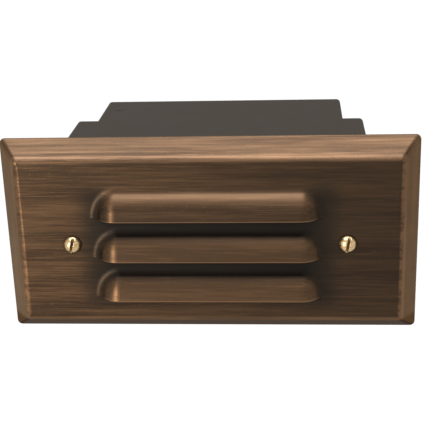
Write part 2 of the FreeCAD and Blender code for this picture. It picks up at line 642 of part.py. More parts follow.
def make_housing():
    outer = stepped_block(
        BOX_WIDTH, REAR_WIDTH, BOX_HEIGHT, FLANGE_FRONT_Y, FRONT_SECTION_DEPTH, BOX_DEPTH, BOX_EDGE_RADIUS
    )
    shell = outer.fuse(panel(FLANGE_WIDTH, FLANGE_HEIGHT, FLANGE_FRONT_Y, 0, FLANGE_CORNER))
    core = stepped_block(
        OPENING_WIDTH, REAR_WIDTH - 2 * BOX_WALL, OPENING_HEIGHT, FLANGE_FRONT_Y - OVERRUN, LEDGE_Y,
        REAR_INNER_Y, BOX_CORE_RADIUS,
    )
    shell = shell.cut(core).fuse(box_bosses())
    mark_x = -(REAR_WIDTH / 2 - EJECTOR_MARK_INSET)
    mark = Part.makeCylinder(
        EJECTOR_MARK_RADIUS, EJECTOR_MARK_HEIGHT + OVERRUN,
        V(mark_x, BOX_DEPTH - EJECTOR_MARK_SETBACK, BOX_HEIGHT / 2 - OVERRUN), UP,
    )
    shell = shell.fuse(mark)
    insert_end = FLANGE_FRONT_Y + INSERT_RECESS + INSERT_LENGTH
    screw_room = FACE_Y + SCREW_LENGTH + INSERT_RECESS
    holes = []
    for side in SIDES:
        x = side * SCREW_X
        holes.append(rod(x, SCREW_Z, INSERT_RADIUS, FLANGE_FRONT_Y - OVERRUN, insert_end))
        holes.append(rod(x, SCREW_Z, SCREW_RADIUS + SEAT_GAP, 0, max(screw_room, insert_end + OVERRUN)))
        holes.append(pilot(side * BRACKET_SCREW_X, 0, BRACKET_FOOT_Y))
        holes.append(
            Part.makeCylinder(
                WEEP_HOLE_RADIUS, BOX_WALL + 2 * OVERRUN,
                V(side * WEEP_HOLE_X, WEEP_HOLE_Y, -BOX_HEIGHT / 2 - OVERRUN), UP,
            )
        )
    holes += [pilot(x, z, REFLECTOR_REAR_Y) for x, z in reflector_screw_places()]
    holes += [
        rod(x, z, WALL_HOLE_RADIUS, REAR_INNER_Y - WALL_HOLE_COLLAR_RISE - OVERRUN, BOX_DEPTH + OVERRUN)
        for x, z in wall_hole_places()
    ]
    holes.append(pilot(BLOCK_X, BLOCK_Z, BLOCK_REAR_Y))
    holes.append(
        rod(GLAND_X, GLAND_Z, GLAND_THREAD_RADIUS + WALL_HOLE_GAP, REAR_INNER_Y - OVERRUN,
            BOX_DEPTH + OVERRUN)
    )
    return shell.cut(holes).removeSplitter()


def make_face_gasket():
    """The foam frame on the box's flange, with an ear round each faceplate screw."""
    outer = (FLANGE_WIDTH - 2 * GASKET_MARGIN, FLANGE_HEIGHT - 2 * GASKET_MARGIN)
    inner = (OPENING_WIDTH + 2 * GASKET_MARGIN, OPENING_HEIGHT + 2 * GASKET_MARGIN)
    y0, y1 = GASKET_FRONT_Y, FLANGE_FRONT_Y
    gasket = ring_panel(outer, inner, y0, y1, FLANGE_CORNER - GASKET_MARGIN, BOX_CORE_RADIUS)
    for side in SIDES:
        x, edge = side * SCREW_X, side * (OPENING_WIDTH / 2 + 2 * GASKET_MARGIN)
        web = box(min(x, edge), max(x, edge), y0, y1, SCREW_Z - BOSS_WEB, SCREW_Z + BOSS_WEB)
        gasket = gasket.fuse([rod(x, SCREW_Z, BOSS_RADIUS, y0, y1), web])
    holes = [rod(s * SCREW_X, SCREW_Z, INSERT_RADIUS, y0 - OVERRUN, y1 + OVERRUN) for s in SIDES]
    return gasket.removeSplitter().cut(holes)


# ---- reflector, lampholder and lamp ----
def make_reflector():
    """A sheet with a flat middle, two wings bent towards the front and an ear at each side."""
    flat, wing = REFLECTOR_FLAT_HEIGHT / 2, OPENING_HEIGHT / 2 - REFLECTOR_WING_GAP
    path = [
        V(0, REFLECTOR_FRONT, wing), V(0, REFLECTOR_FRONT_FACE_Y, flat),
        V(0, REFLECTOR_FRONT_FACE_Y, -flat), V(0, REFLECTOR_FRONT, -wing),
    ]
    wing_width = REAR_WIDTH - 2 * BOX_WALL - 2 * SEAT_GAP
    sheet = bent_sheet(path, REFLECTOR_SHEET, V(1, 0, 0), wing_width, REFLECTOR_SHEET)
    ear_width = OPENING_WIDTH - 2 * REFLECTOR_WING_GAP
    ear_height = REFLECTOR_FLAT_HEIGHT - 4 * REFLECTOR_SHEET
    sheet = sheet.fuse(
        panel(ear_width, ear_height, REFLECTOR_FRONT_FACE_Y, REFLECTOR_REAR_Y, 2 * REFLECTOR_SHEET)
    ).removeSplitter()
    window = panel(
        HOLDER_WIDTH + 2 * HOLDER_GAP, HOLDER_HEIGHT + 2 * HOLDER_GAP, REFLECTOR_FRONT_FACE_Y - OVERRUN,
        REFLECTOR_REAR_Y + OVERRUN, 2 * HOLDER_GAP,
    )
    holes = [
        rod(x, z, SMALL_SCREW_RADIUS + SEAT_GAP, REFLECTOR_FRONT_FACE_Y - OVERRUN, REFLECTOR_REAR_Y + OVERRUN)
        for x, z in reflector_screw_places()
    ]
    return sheet.cut([window] + holes)


def make_reflector_screws():
    places = reflector_screw_places()
    return Part.makeCompound([small_screw(x, z, REFLECTOR_FRONT_FACE_Y, 1) for x, z in places])


def holder_screw_xs():
    return [side * HOLDER_SCREW_SPACING / 2 for side in SIDES]


def make_bracket():
    """The hat-shaped strip that stands on the box's rear wall and carries the lampholder."""
    platform = BRACKET_PLATFORM / 2
    foot = platform + BRACKET_FOOT
    front, rear = HOLDER_REAR_Y, BRACKET_FOOT_Y - BRACKET_SHEET
    path = [
        V(foot, rear, 0), V(platform, rear, 0), V(platform, front, 0),
        V(-platform, front, 0), V(-platform, rear, 0), V(-foot, rear, 0),
    ]
    strip = bent_sheet(path, BRACKET_SHEET, V(0, 0, -1), BRACKET_WIDTH, BRACKET_BEND)
    hole = SMALL_SCREW_RADIUS + SEAT_GAP
    holes = [rod(x, 0, hole, front - OVERRUN, front + BRACKET_SHEET + OVERRUN) for x in holder_screw_xs()]
    holes += [rod(s * BRACKET_SCREW_X, 0, hole, rear - OVERRUN, BRACKET_FOOT_Y + OVERRUN) for s in SIDES]
    window = 2 * (CONDUCTOR_RADIUS + LIVE_GAP)
    holes.append(
        panel(LAMP_PIN_SPACING + window, window, front - OVERRUN, front + BRACKET_SHEET + OVERRUN,
              BRACKET_BEND)
    )
    return strip.cut(holes)


def make_bracket_screws():
    seat = BRACKET_FOOT_Y - BRACKET_SHEET
    return Part.makeCompound([small_screw(s * BRACKET_SCREW_X, 0, seat, 1) for s in SIDES])


def make_lampholder():
    """The ceramic block: rounded ends, two sunk screw holes and two contact holes."""
    half = HOLDER_WIDTH / 2 - HOLDER_HEIGHT / 2
    block = panel(2 * half, HOLDER_HEIGHT, HOLDER_FRONT_Y, HOLDER_REAR_Y)
    ends = [rod(s * half, 0, HOLDER_HEIGHT / 2, HOLDER_FRONT_Y, HOLDER_REAR_Y) for s in SIDES]
    block = block.fuse(ends).removeSplitter()
    front = edges_on_plane(block, INTO_WALL, HOLDER_FRONT_Y)
    block = block.makeChamfer(HOLDER_EDGE, front)
    start, end = HOLDER_FRONT_Y - OVERRUN, HOLDER_REAR_Y + OVERRUN
    sunk = HOLDER_FRONT_Y + HOLDER_SCREW_SUNK
    holes = [rod(x, 0, CONTACT_HOLE_RADIUS, start, end) for x in PIN_XS]
    for x in holder_screw_xs():
        holes.append(rod(x, 0, SMALL_SCREW_RADIUS + SEAT_GAP, start, end))
        holes.append(rod(x, 0, SMALL_SCREW_HEAD_RADIUS + SEAT_GAP, start, sunk))
    return block.cut(holes)


def make_lampholder_screws():
    seat = HOLDER_FRONT_Y + HOLDER_SCREW_SUNK
    length = HOLDER_REAR_Y + BRACKET_SHEET + NUT_THICKNESS + SEAT_GAP - seat
    return Part.makeCompound([small_screw(x, 0, seat, 1, length) for x in holder_screw_xs()])


def make_lampholder_nuts():
    y0 = HOLDER_REAR_Y + BRACKET_SHEET
    y1 = y0 + NUT_THICKNESS
    hole = SMALL_SCREW_RADIUS + RUNNING_FIT
    return Part.makeCompound([
        hexagon(x, 0, NUT_ACROSS_FLATS, y0, y1).cut(rod(x, 0, hole, y0 - OVERRUN, y1 + OVERRUN))
        for x in holder_screw_xs()
    ])


def make_contacts():
    """Two sleeves that grip the lamp's pins, each with a solid tail for its lead."""
    bore = LAMP_PIN_RADIUS + RUNNING_FIT
    outer = bore + CONTACT_WALL
    start = HOLDER_FRONT_Y + HOLDER_GAP
    bottom = HOLDER_FRONT_Y + LAMP_PIN_LENGTH + HOLDER_GAP
    tail = HOLDER_REAR_Y + CONTACT_TAIL
    contacts = []
    for x in PIN_XS:
        body = rod(x, 0, outer, start, HOLDER_REAR_Y - HOLDER_GAP)
        body = body.fuse(rod(x, 0, CONDUCTOR_RADIUS, HOLDER_REAR_Y - 2 * HOLDER_GAP, tail))
        contacts.append(body.cut(rod(x, 0, bore, start - OVERRUN, bottom)).removeSplitter())
    return Part.makeCompound(contacts)


def bulb_profile(radius, y_base, y_tip):
    """Half outline of a round-ended tube, from its base to its tip."""
    centre_y = y_tip + radius
    lean = math.radians(45)
    return [
        Part.makeLine(V(radius, y_base, 0), V(radius, centre_y, 0)),
        Part.Arc(
            V(radius, centre_y, 0), V(radius * math.cos(lean), centre_y - radius * math.sin(lean), 0),
            V(0, y_tip, 0),
        ).toShape(),
    ]


def lamp_solid(radius, y_base, y_tip):
    closing = Part.makePolygon([V(0, y_tip, 0), V(0, y_base, 0), V(radius, y_base, 0)])
    outline = Part.Wire(bulb_profile(radius, y_base, y_tip) + closing.Edges)
    return Part.Face(outline).revolve(V(0, 0, 0), INTO_WALL, 360)


def make_lamp_bulb():
    """The glass capsule: a round tube closed by a flat pinch."""
    base = LAMP_PINCH_END_Y
    outer = lamp_solid(LAMP_BULB_RADIUS, base, LAMP_TIP_Y)
    outer = outer.makeChamfer(LAMP_SHOULDER, edges_on_plane(outer, INTO_WALL, base))
    pinch = panel(LAMP_PINCH_WIDTH, LAMP_PINCH_DEPTH, base - 2 * LAMP_GLASS, LAMP_SEAT_Y)
    pinch = pinch.makeFillet(LAMP_GLASS, edges_along(pinch, INTO_WALL))
    hollow = lamp_solid(LAMP_BULB_RADIUS - LAMP_GLASS, base - 3 * LAMP_GLASS, LAMP_TIP_Y + LAMP_GLASS)
    bulb = outer.fuse(pinch).cut(hollow)
    holes = [rod(x, 0, LAMP_PIN_RADIUS, LAMP_PINCH_END_Y, LAMP_SEAT_Y + OVERRUN) for x in PIN_XS]
    return bulb.cut(holes + filament_legs()).removeSplitter()


def make_lamp_pins():
    end = HOLDER_FRONT_Y + LAMP_PIN_LENGTH
    pins = []
    for x in PIN_XS:
        pin = rod(x, 0, LAMP_PIN_RADIUS, LAMP_PINCH_END_Y, end)
        pins.append(pin.makeChamfer(LAMP_PIN_RADIUS / 2, edges_on_plane(pin, INTO_WALL, end)))
    return Part.makeCompound(pins)


def filament_legs():
    """The two support wires, from the coil's ends back to the pins in the pinch."""
    return [rod(x, 0, FILAMENT_LEG_RADIUS, FILAMENT_Y, LAMP_PINCH_END_Y) for x in PIN_XS]


def make_filament():
    """The closely wound coil across the bulb, as a plain rod, on its two support wires."""
    coil = Part.makeCylinder(FILAMENT_RADIUS, LAMP_PIN_SPACING, V(PIN_XS[0], FILAMENT_Y, 0), V(1, 0, 0))
    return coil.fuse(filament_legs()).removeSplitter()


# ---- terminal block, leads and cable gland ----
def make_terminal_block():
    """Two barrel housings side by side on a base, with wire entries along Z and screw wells in front."""
    half_length = BLOCK_LENGTH / 2
    half_width = BLOCK_POLE_PITCH / 2 + BARREL_RADIUS + BLOCK_BASE / 2
    block = box(BLOCK_X - half_width, BLOCK_X + half_width, BLOCK_REAR_Y - BLOCK_BASE, BLOCK_REAR_Y,
                BLOCK_Z - half_length, BLOCK_Z + half_length)
    wall = BARREL_RADIUS + BLOCK_BASE / 2
    for x in POLE_XS:
        tower = box(x - wall, x + wall, BLOCK_FRONT_Y, BLOCK_REAR_Y - BLOCK_BASE / 2,
                    BLOCK_Z - half_length, BLOCK_Z + half_length)
        front = [e for e in edges_on_plane(tower, INTO_WALL, BLOCK_FRONT_Y) if e.Length > 2 * wall + OVERRUN]
        block = block.fuse(tower.makeFillet(BLOCK_BASE / 2, front))
    cuts = []
    for x in POLE_XS:
        cuts.append(Part.makeCylinder(
            BARREL_RADIUS + HEAD_GAP, BARREL_LENGTH + 2 * HEAD_GAP,
            V(x, BARREL_Y, BLOCK_Z - BARREL_LENGTH / 2 - HEAD_GAP), UP,
        ))
        cuts.append(Part.makeCylinder(
            LEAD_RADIUS + SEAT_GAP, BLOCK_LENGTH + 2 * OVERRUN,
            V(x, BARREL_Y, BLOCK_Z - half_length - OVERRUN), UP,
        ))
        cuts += [rod(x, BLOCK_Z + s * CLAMP_SCREW_SPACING / 2, CLAMP_SCREW_RADIUS + 2 * SEAT_GAP,
                     BLOCK_FRONT_Y - OVERRUN, BARREL_Y) for s in SIDES]
    cuts.append(rod(BLOCK_X, BLOCK_Z, SMALL_SCREW_RADIUS + SEAT_GAP, BLOCK_FRONT_Y - OVERRUN,
                    BLOCK_REAR_Y + OVERRUN))
    cuts.append(rod(BLOCK_X, BLOCK_Z, SMALL_SCREW_HEAD_RADIUS + SEAT_GAP, BLOCK_FRONT_Y - OVERRUN,
                    BLOCK_REAR_Y - BLOCK_BASE))
    return block.cut(cuts).removeSplitter()


def make_terminal_barrels():
    """Two brass barrels, bored for the wires and drilled for their clamping screws."""
    barrels = []
    for x in POLE_XS:
        foot = V(x, BARREL_Y, BLOCK_Z - BARREL_LENGTH / 2)
        barrel = Part.makeCylinder(BARREL_RADIUS, BARREL_LENGTH, foot, UP)
        bore = Part.makeCylinder(BARREL_BORE, BARREL_LENGTH + 2 * OVERRUN, foot - UP * OVERRUN, UP)
        drilled = [rod(x, BLOCK_Z + s * CLAMP_SCREW_SPACING / 2, CLAMP_SCREW_RADIUS + RUNNING_FIT,
                       BARREL_Y - BARREL_RADIUS - OVERRUN, BARREL_Y) for s in SIDES]
        barrels.append(barrel.cut([bore] + drilled))
    return Part.makeCompound(barrels)


def make_clamp_screws():
    """Four headless slotted screws, their tips just clear of the bare wire."""
    screws = []
    end = BARREL_Y - CONDUCTOR_RADIUS - HEAD_GAP
    start = BLOCK_FRONT_Y + BLOCK_BASE
    for x in POLE_XS:
        for side in SIDES:
            z = BLOCK_Z + side * CLAMP_SCREW_SPACING / 2
            screw = rod(x, z, CLAMP_SCREW_RADIUS, start, end)
            slot = box(x - 2 * CLAMP_SCREW_RADIUS, x + 2 * CLAMP_SCREW_RADIUS, start - OVERRUN,
                       start + SMALL_SLOT_DEPTH, z - SMALL_SLOT_WIDTH / 4, z + SMALL_SLOT_WIDTH / 4)
            screws.append(screw.cut(slot))
    return Part.makeCompound(screws)


def make_block_screw():
    return small_screw(BLOCK_X, BLOCK_Z, BLOCK_REAR_Y - BLOCK_BASE, 1, SMALL_SCREW_LENGTH + BLOCK_BASE / 2)


def rounded_route(points):
    """Straight runs joined by tangent arcs, each as large as its two runs allow."""
    edges, radii, last = [], [], points[0]
    for before, point, after in zip(points, points[1:], points[2:]):
        a, b = before - point, after - point
        half_turn = (math.pi - a.getAngle(b)) / 2
        shorter = min(a.Length, b.Length)
        reach = LEAD_BEND_SHARE * shorter
        radii.append(reach / math.tan(half_turn))
        unit_a, unit_b = V(a).normalize(), V(b).normalize()
        start, end = point + unit_a * reach, point + unit_b * reach
        bisector = (unit_a + unit_b).normalize()
        centre = point + bisector * (radii[-1] / math.cos(half_turn))
        middle = centre - bisector * radii[-1]
        edges.append(Part.makeLine(last, start))
        edges.append(Part.Arc(start, middle, end).toShape())
        last = end
    edges.append(Part.makeLine(last, points[-1]))
    return Part.Wire(edges), radii


def lead_points(pin_x, pole_x, crest):
    """The lead's way: back from the lampholder's tail, over the bracket's leg and down into its pole."""
    start = V(pin_x, HOLDER_REAR_Y + CONTACT_TAIL, 0)
    crossing_y = start.y + LEAD_SETBACK
    return [
        start,
        start + INTO_WALL * LEAD_RUN_OUT,
        V(pin_x + LEAD_SIDE_RUN, crossing_y, crest / 2),
        V(BRACKET_PLATFORM / 2, crossing_y, crest),
        V(pole_x - LEAD_DROP_RUN, (crossing_y + BARREL_Y) / 2, crest),
        V(pole_x, BARREL_Y, crest / 2),
        V(pole_x, BARREL_Y, BLOCK_Z + BARREL_LENGTH / 2),
    ]


def make_lead(word, pin_x, pole_x):
    """One insulated lead along its route, its stripped end in the terminal's barrel."""
    points = lead_points(pin_x, pole_x, LEAD_CRESTS[word])
    route, radii = rounded_route(points)
    profile = Part.Wire([Part.makeCircle(LEAD_RADIUS, points[0], INTO_WALL)])
    lead = route.makePipeShell([profile], True, False)
    ideal = math.pi * LEAD_RADIUS ** 2 * route.Length
    print("lead", word, "length", round(route.Length, 1), "volume over ideal", round(lead.Volume / ideal, 4),
          "radii", [round(r, 1) for r in radii])
    bare = Part.makeCylinder(CONDUCTOR_RADIUS, 2 * STRIP_LENGTH, points[-1] - UP * STRIP_LENGTH, UP)
    return lead.fuse(bare).removeSplitter()


def make_gland_body():
    """Thread through the wall, hexagon outside it and a threaded cup for the seal."""
    x, z = GLAND_X, GLAND_Z
    start = REAR_INNER_Y - LOCKNUT_THICKNESS - GLAND_WASHER_THICKNESS
    body = rod(x, z, GLAND_THREAD_RADIUS, start, GLAND_THREAD_END_Y)
    body = body.fuse(hexagon(x, z, GLAND_ACROSS_FLATS, GLAND_SEAT_Y, GLAND_HEX_END_Y))
    cup_bottom = SEAL_END_Y - GLAND_SEAL_LENGTH
    body = body.cut(rod(x, z, GLAND_BORE_RADIUS, start - OVERRUN, GLAND_THREAD_END_Y + OVERRUN))
    return body.cut(rod(x, z, SEAL_RADIUS + HEAD_GAP, cup_bottom, GLAND_THREAD_END_Y + OVERRUN))


def make_gland_locknut():
    x, z = GLAND_X, GLAND_Z
    start = REAR_INNER_Y - LOCKNUT_THICKNESS
    nut = hexagon(x, z, LOCKNUT_ACROSS_FLATS, start, REAR_INNER_Y)
    return nut.cut(rod(x, z, GLAND_THREAD_RADIUS + RUNNING_FIT, start - OVERRUN, REAR_INNER_Y + OVERRUN))


def make_gland_washer():
    inner = GLAND_THREAD_RADIUS + WALL_HOLE_GAP
    return tube(GLAND_X, GLAND_Z, GLAND_WASHER_RADIUS, inner, BOX_DEPTH, GLAND_SEAT_Y)


def make_gland_seal():
    """The rubber sleeve round the cable, tapered where the nut presses it."""
    start = SEAL_END_Y - GLAND_SEAL_LENGTH
    taper = GLAND_SEAL_PROUD + SLIP_WASHER_THICKNESS
    profile = [
        (CABLE_RADIUS, start), (SEAL_RADIUS, start), (SEAL_RADIUS, SEAL_END_Y - taper),
        (SEAL_RADIUS - taper / 2, SEAL_END_Y), (CABLE_RADIUS, SEAL_END_Y),
    ]
    return spun(GLAND_X, GLAND_Z, profile)


def make_slip_washer():
    """The thin ring between nut and seal: it travels with the nut and doesn't turn."""
    inner = CABLE_RADIUS + SEAT_GAP
    outer = GLAND_THREAD_RADIUS - SEAT_GAP
    return tube(GLAND_X, GLAND_Z, outer, inner, SEAL_END_Y, SLIP_WASHER_END_Y)


def make_gland_nut():
    """The domed clamping nut: six flats, threaded inside, closing in over the seal."""
    x, z = GLAND_X, GLAND_Z
    start = GLAND_HEX_END_Y + GLAND_NUT_GAP
    end = SLIP_WASHER_END_Y + GLAND_DOME_LENGTH
    nut = hexagon(x, z, GLAND_ACROSS_FLATS, start, end)
    flat = GLAND_ACROSS_FLATS / 2
    corner = GLAND_ACROSS_FLATS / math.sqrt(3)
    outline = spun(x, z, [
        (0, start), (flat, start), (corner, start + corner - flat), (corner, SLIP_WASHER_END_Y),
        (flat, SLIP_WASHER_END_Y + corner - flat), (GLAND_BORE_RADIUS + BOSS_WALL, end), (0, end),
    ])
    nut = nut.common(outline)
    nut = nut.cut(rod(x, z, GLAND_THREAD_RADIUS + RUNNING_FIT, start - OVERRUN, SLIP_WASHER_END_Y))
    return nut.cut(rod(x, z, GLAND_BORE_RADIUS, start, end + OVERRUN))


def build_pieces():
    pieces = {
        "faceplate": make_faceplate(),
        "lens_gasket": make_lens_gasket(),
        "lens": make_lens(),
        "lens_clips": make_lens_clips(),
        "lens_clip_screws": make_lens_clip_screws(),
        "face_gasket": make_face_gasket(),
        "housing": make_housing(),
        "reflector": make_reflector(),
        "reflector_screws": make_reflector_screws(),
        "lampholder_bracket": make_bracket(),
        "bracket_screws": make_bracket_screws(),
        "lampholder": make_lampholder(),
        "lampholder_screws": make_lampholder_screws(),
        "lampholder_nuts": make_lampholder_nuts(),
        "lampholder_contacts": make_contacts(),
        "lamp_bulb": make_lamp_bulb(),
        "lamp_pins": make_lamp_pins(),
        "lamp_filament": make_filament(),
        "terminal_block": make_terminal_block(),
        "terminal_barrels": make_terminal_barrels(),
        "terminal_clamp_screws": make_clamp_screws(),
        "terminal_block_screw": make_block_screw(),
        "lead_left": make_lead("left", PIN_XS[0], POLE_XS[1]),
        "lead_right": make_lead("right", PIN_XS[1], POLE_XS[0]),
        "gland_body": make_gland_body(),
        "gland_locknut": make_gland_locknut(),
        "gland_washer": make_gland_washer(),
        "gland_seal": make_gland_seal(),
        "gland_slip_washer": make_slip_washer(),
        "gland_nut": make_gland_nut(),
    }
    for side, word in zip(SIDES, ("left", "right")):
        pieces["faceplate_screw_" + word] = make_faceplate_screw(side)
        pieces["screw_seal_ring_" + word] = make_seal_ring(side)
        pieces["thread_insert_" + word] = make_insert(side)
    return pieces


os.makedirs("parts", exist_ok=True)
for node, shape in build_pieces().items():
    solids = shape.Solids
    if not solids or not shape.isValid():
        raise ValueError(node + " is not a set of closed solids")
    shape.exportStep("parts/" + node + ".step")
    print(node, len(solids), "solids", round(sum(s.Volume for s in solids), 1), "mm3")
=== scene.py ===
"""Looks of the recessed step light: a brushed bronze plate, a moulded wall box and the pieces inside."""

import bmesh
import bpy
import json
import math
from mathutils import Matrix, Vector


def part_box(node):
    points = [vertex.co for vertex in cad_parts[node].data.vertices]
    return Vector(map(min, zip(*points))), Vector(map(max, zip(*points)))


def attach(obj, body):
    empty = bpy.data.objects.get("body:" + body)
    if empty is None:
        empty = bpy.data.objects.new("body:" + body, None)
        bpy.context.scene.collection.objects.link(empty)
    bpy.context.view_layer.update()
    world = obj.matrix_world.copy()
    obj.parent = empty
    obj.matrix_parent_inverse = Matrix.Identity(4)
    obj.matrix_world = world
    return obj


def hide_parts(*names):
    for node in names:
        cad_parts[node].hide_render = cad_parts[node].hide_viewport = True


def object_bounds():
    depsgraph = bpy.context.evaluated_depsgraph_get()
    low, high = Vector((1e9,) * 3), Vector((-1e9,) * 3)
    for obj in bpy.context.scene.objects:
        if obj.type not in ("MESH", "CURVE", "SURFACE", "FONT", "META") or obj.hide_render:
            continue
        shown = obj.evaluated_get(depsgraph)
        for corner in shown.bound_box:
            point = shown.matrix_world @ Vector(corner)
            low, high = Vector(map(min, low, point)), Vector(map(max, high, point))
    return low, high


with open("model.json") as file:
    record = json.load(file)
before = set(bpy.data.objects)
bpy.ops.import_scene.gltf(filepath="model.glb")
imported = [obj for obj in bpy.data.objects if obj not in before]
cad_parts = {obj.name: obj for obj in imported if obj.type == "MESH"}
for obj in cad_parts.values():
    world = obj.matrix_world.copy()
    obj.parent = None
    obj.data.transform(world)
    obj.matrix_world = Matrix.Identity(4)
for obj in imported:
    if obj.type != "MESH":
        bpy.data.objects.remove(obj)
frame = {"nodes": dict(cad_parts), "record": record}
cad_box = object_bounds()

MM = 0.001
INCH = 25.4 * MM

# ---- camera, solved from the plate's corners in the photograph ----
CAMERA_PLACE = Vector((0.03743, -0.43588, 0.17177))
CAMERA_LOOK = Vector((-0.07902, 0.93478, -0.34634))
CAMERA_UP = Vector((0.00479, 0.34777, 0.93757))
CAMERA_LENS = 90.7
CAMERA_SENSOR = 36.0
CAMERA_NEAR = 0.01

# ---- the plate's main places, as far as its finish needs them ----
FACE_Y = -10.5 * MM
END_BEVEL = 82.6 * MM  # |x| where the bevels at the plate's ends start
MITRE = cad_box[1][0] - cad_box[1][2]  # |x| - |z| along the mitred corners
LOUVRE_COUNT = 3
LOUVRE_PITCH = 18.5 * MM
TOP_LIP = 10.85 * MM
BOTTOM_LIP = TOP_LIP - LOUVRE_PITCH * (LOUVRE_COUNT - 1)
HOOD_END = 48.0 * MM  # |x| where a hood's round end runs out on the plate
LIP_BLUR = 0.2 * MM  # over which one hood's shades give way to the next one's

# a Mix node has a socket of each name for every kind of value, so the colour ones go by number
MIX_FIRST = 6
MIX_SECOND = 7
MIX_RESULT = 2

CREASE_SAMPLES = 8
EDGE_SAMPLES = 6


class Paint:
    """A material's node tree, with one short call for each kind of node used here."""

    def __init__(self, name, **sockets):
        self.material = bpy.data.materials.new(name)
        self.material.use_nodes = True
        self.tree = self.material.node_tree
        self.surface = self.tree.nodes["Principled BSDF"]
        for socket, value in sockets.items():
            self.surface.inputs[socket.replace("_", " ")].default_value = value
        self.place = self.tree.nodes.new("ShaderNodeTexCoord").outputs["Object"]

    def wire(self, value, socket):
        if isinstance(value, bpy.types.NodeSocket):
            self.tree.links.new(value, socket)
        else:
            socket.default_value = value

    def set(self, socket, value):
        self.wire(value, self.surface.inputs[socket])

    def axis(self, name):
        """One of the object's coordinates, in metres."""
        node = self.tree.nodes.new("ShaderNodeSeparateXYZ")
        self.wire(self.place, node.inputs["Vector"])
        return node.outputs[name]

    def noise(self, grain, detail=3.0, roughness=0.55, distortion=0.0):
        """Noise with so many lumps to a metre: one number, or one each for X, Y and Z."""
        stretched = self.tree.nodes.new("ShaderNodeMapping")
        stretched.inputs["Scale"].default_value = grain if isinstance(grain, tuple) else (grain,) * 3
        self.wire(self.place, stretched.inputs["Vector"])
        node = self.tree.nodes.new("ShaderNodeTexNoise")
        self.wire(stretched.outputs["Vector"], node.inputs["Vector"])
        node.inputs["Scale"].default_value = 1.0
        node.inputs["Detail"].default_value = detail
        node.inputs["Roughness"].default_value = roughness
        node.inputs["Distortion"].default_value = distortion
        return node.outputs["Fac"]

    def maths(self, operation, first, second=0.0):
        node = self.tree.nodes.new("ShaderNodeMath")
        node.operation = operation
        self.wire(first, node.inputs[0])
        self.wire(second, node.inputs[1])
        return node.outputs[0]

    def overlap(self, *masks):
        """1 only where each of the masks is 1."""
        product = masks[0]
        for mask in masks[1:]:
            product = self.maths("MULTIPLY", product, mask)
        return product

    def fade(self, value, start, end, low=0.0, high=1.0):
        """low at start to high at end, smooth, and flat outside."""
        node = self.tree.nodes.new("ShaderNodeMapRange")
        node.interpolation_type = "SMOOTHSTEP"
        self.wire(value, node.inputs["Value"])
        node.inputs["From Min"].default_value = start
        node.inputs["From Max"].default_value = end
        node.inputs["To Min"].default_value = low
        node.inputs["To Max"].default_value = high
        return node.outputs["Result"]

    def mix(self, factor, first, second):
        node = self.tree.nodes.new("ShaderNodeMix")
        node.data_type = "RGBA"
        self.wire(factor, node.inputs["Factor"])
        for colour, socket in ((first, node.inputs[MIX_FIRST]), (second, node.inputs[MIX_SECOND])):
            self.wire(colour if isinstance(colour, bpy.types.NodeSocket) else (*colour, 1.0), socket)
        return node.outputs[MIX_RESULT]

    def crease(self, distance):
        """0 deep in a corner to 1 in the open."""
        node = self.tree.nodes.new("ShaderNodeAmbientOcclusion")
        node.samples = CREASE_SAMPLES
        node.inputs["Distance"].default_value = distance
        return node.outputs["AO"]

    def edge(self, radius):
        """1 on edges and 0 on flats."""
        soft = self.tree.nodes.new("ShaderNodeBevel")
        soft.samples = EDGE_SAMPLES
        soft.inputs["Radius"].default_value = radius
        hard = self.tree.nodes.new("ShaderNodeNewGeometry")
        dot = self.tree.nodes.new("ShaderNodeVectorMath")
        dot.operation = "DOT_PRODUCT"
        self.wire(soft.outputs["Normal"], dot.inputs[0])
        self.wire(hard.outputs["Normal"], dot.inputs[1])
        return self.fade(dot.outputs["Value"], 1.0, 0.8)

    def bump(self, height, depth, strength):
        node = self.tree.nodes.new("ShaderNodeBump")
        node.inputs["Strength"].default_value = strength
        node.inputs["Distance"].default_value = depth
        self.wire(height, node.inputs["Height"])
        self.set("Normal", node.outputs["Normal"])

    def brushed_along(self, axis):
        """Spreads the gloss across brush lines that run along the axis."""
        node = self.tree.nodes.new("ShaderNodeTangent")
        node.direction_type = "RADIAL"
        node.axis = axis
        self.set("Tangent", node.outputs["Tangent"])


# ---- the plate's bronze ----
BRONZE_DARK = (0.038, 0.019, 0.008)
BRONZE_LIGHT = (0.082, 0.043, 0.019)
# also the painted highlight and painted light on the hoods
BRONZE_BRUSHED_AND_HIGHLIGHT = (0.130, 0.070, 0.032)
# also the painted highlight on the rounds and the lips
BRONZE_RUBBED_AND_HIGHLIGHT = (0.240, 0.130, 0.065)
BRONZE_OLIVE = (0.036, 0.024, 0.013)
# also painted shade on the hoods, the low bevel and the face's right
BRONZE_PATINA_AND_SHADE = (0.024, 0.014, 0.007)
# painted shade beside the hoods' ends
BRONZE_HALO_SHADE = (0.014, 0.010, 0.006)
# the finish's black in hollows, and painted shade
BRONZE_RECESS_SHADE = (0.004, 0.003, 0.002)
GRAZING_TINT = (0.80, 0.71, 0.60)
# grazing tint under the low bevel's painted shade
GRAZING_TINT_SHADED = (0.46, 0.38, 0.30)

# noise in lumps to a metre along X, Y and Z, or all three: few along the brush's way, many across it
BANDS = (8, 130, 130)
STROKES_ALONG = (16, 560, 560)
STROKES_UP = (260, 260, 16)
HAIRLINES_ALONG = (38, 1250, 1250)
HAIRLINES_UP = (1250, 1250, 38)
CLOUDS = 28.0
SPECKS = 1300.0


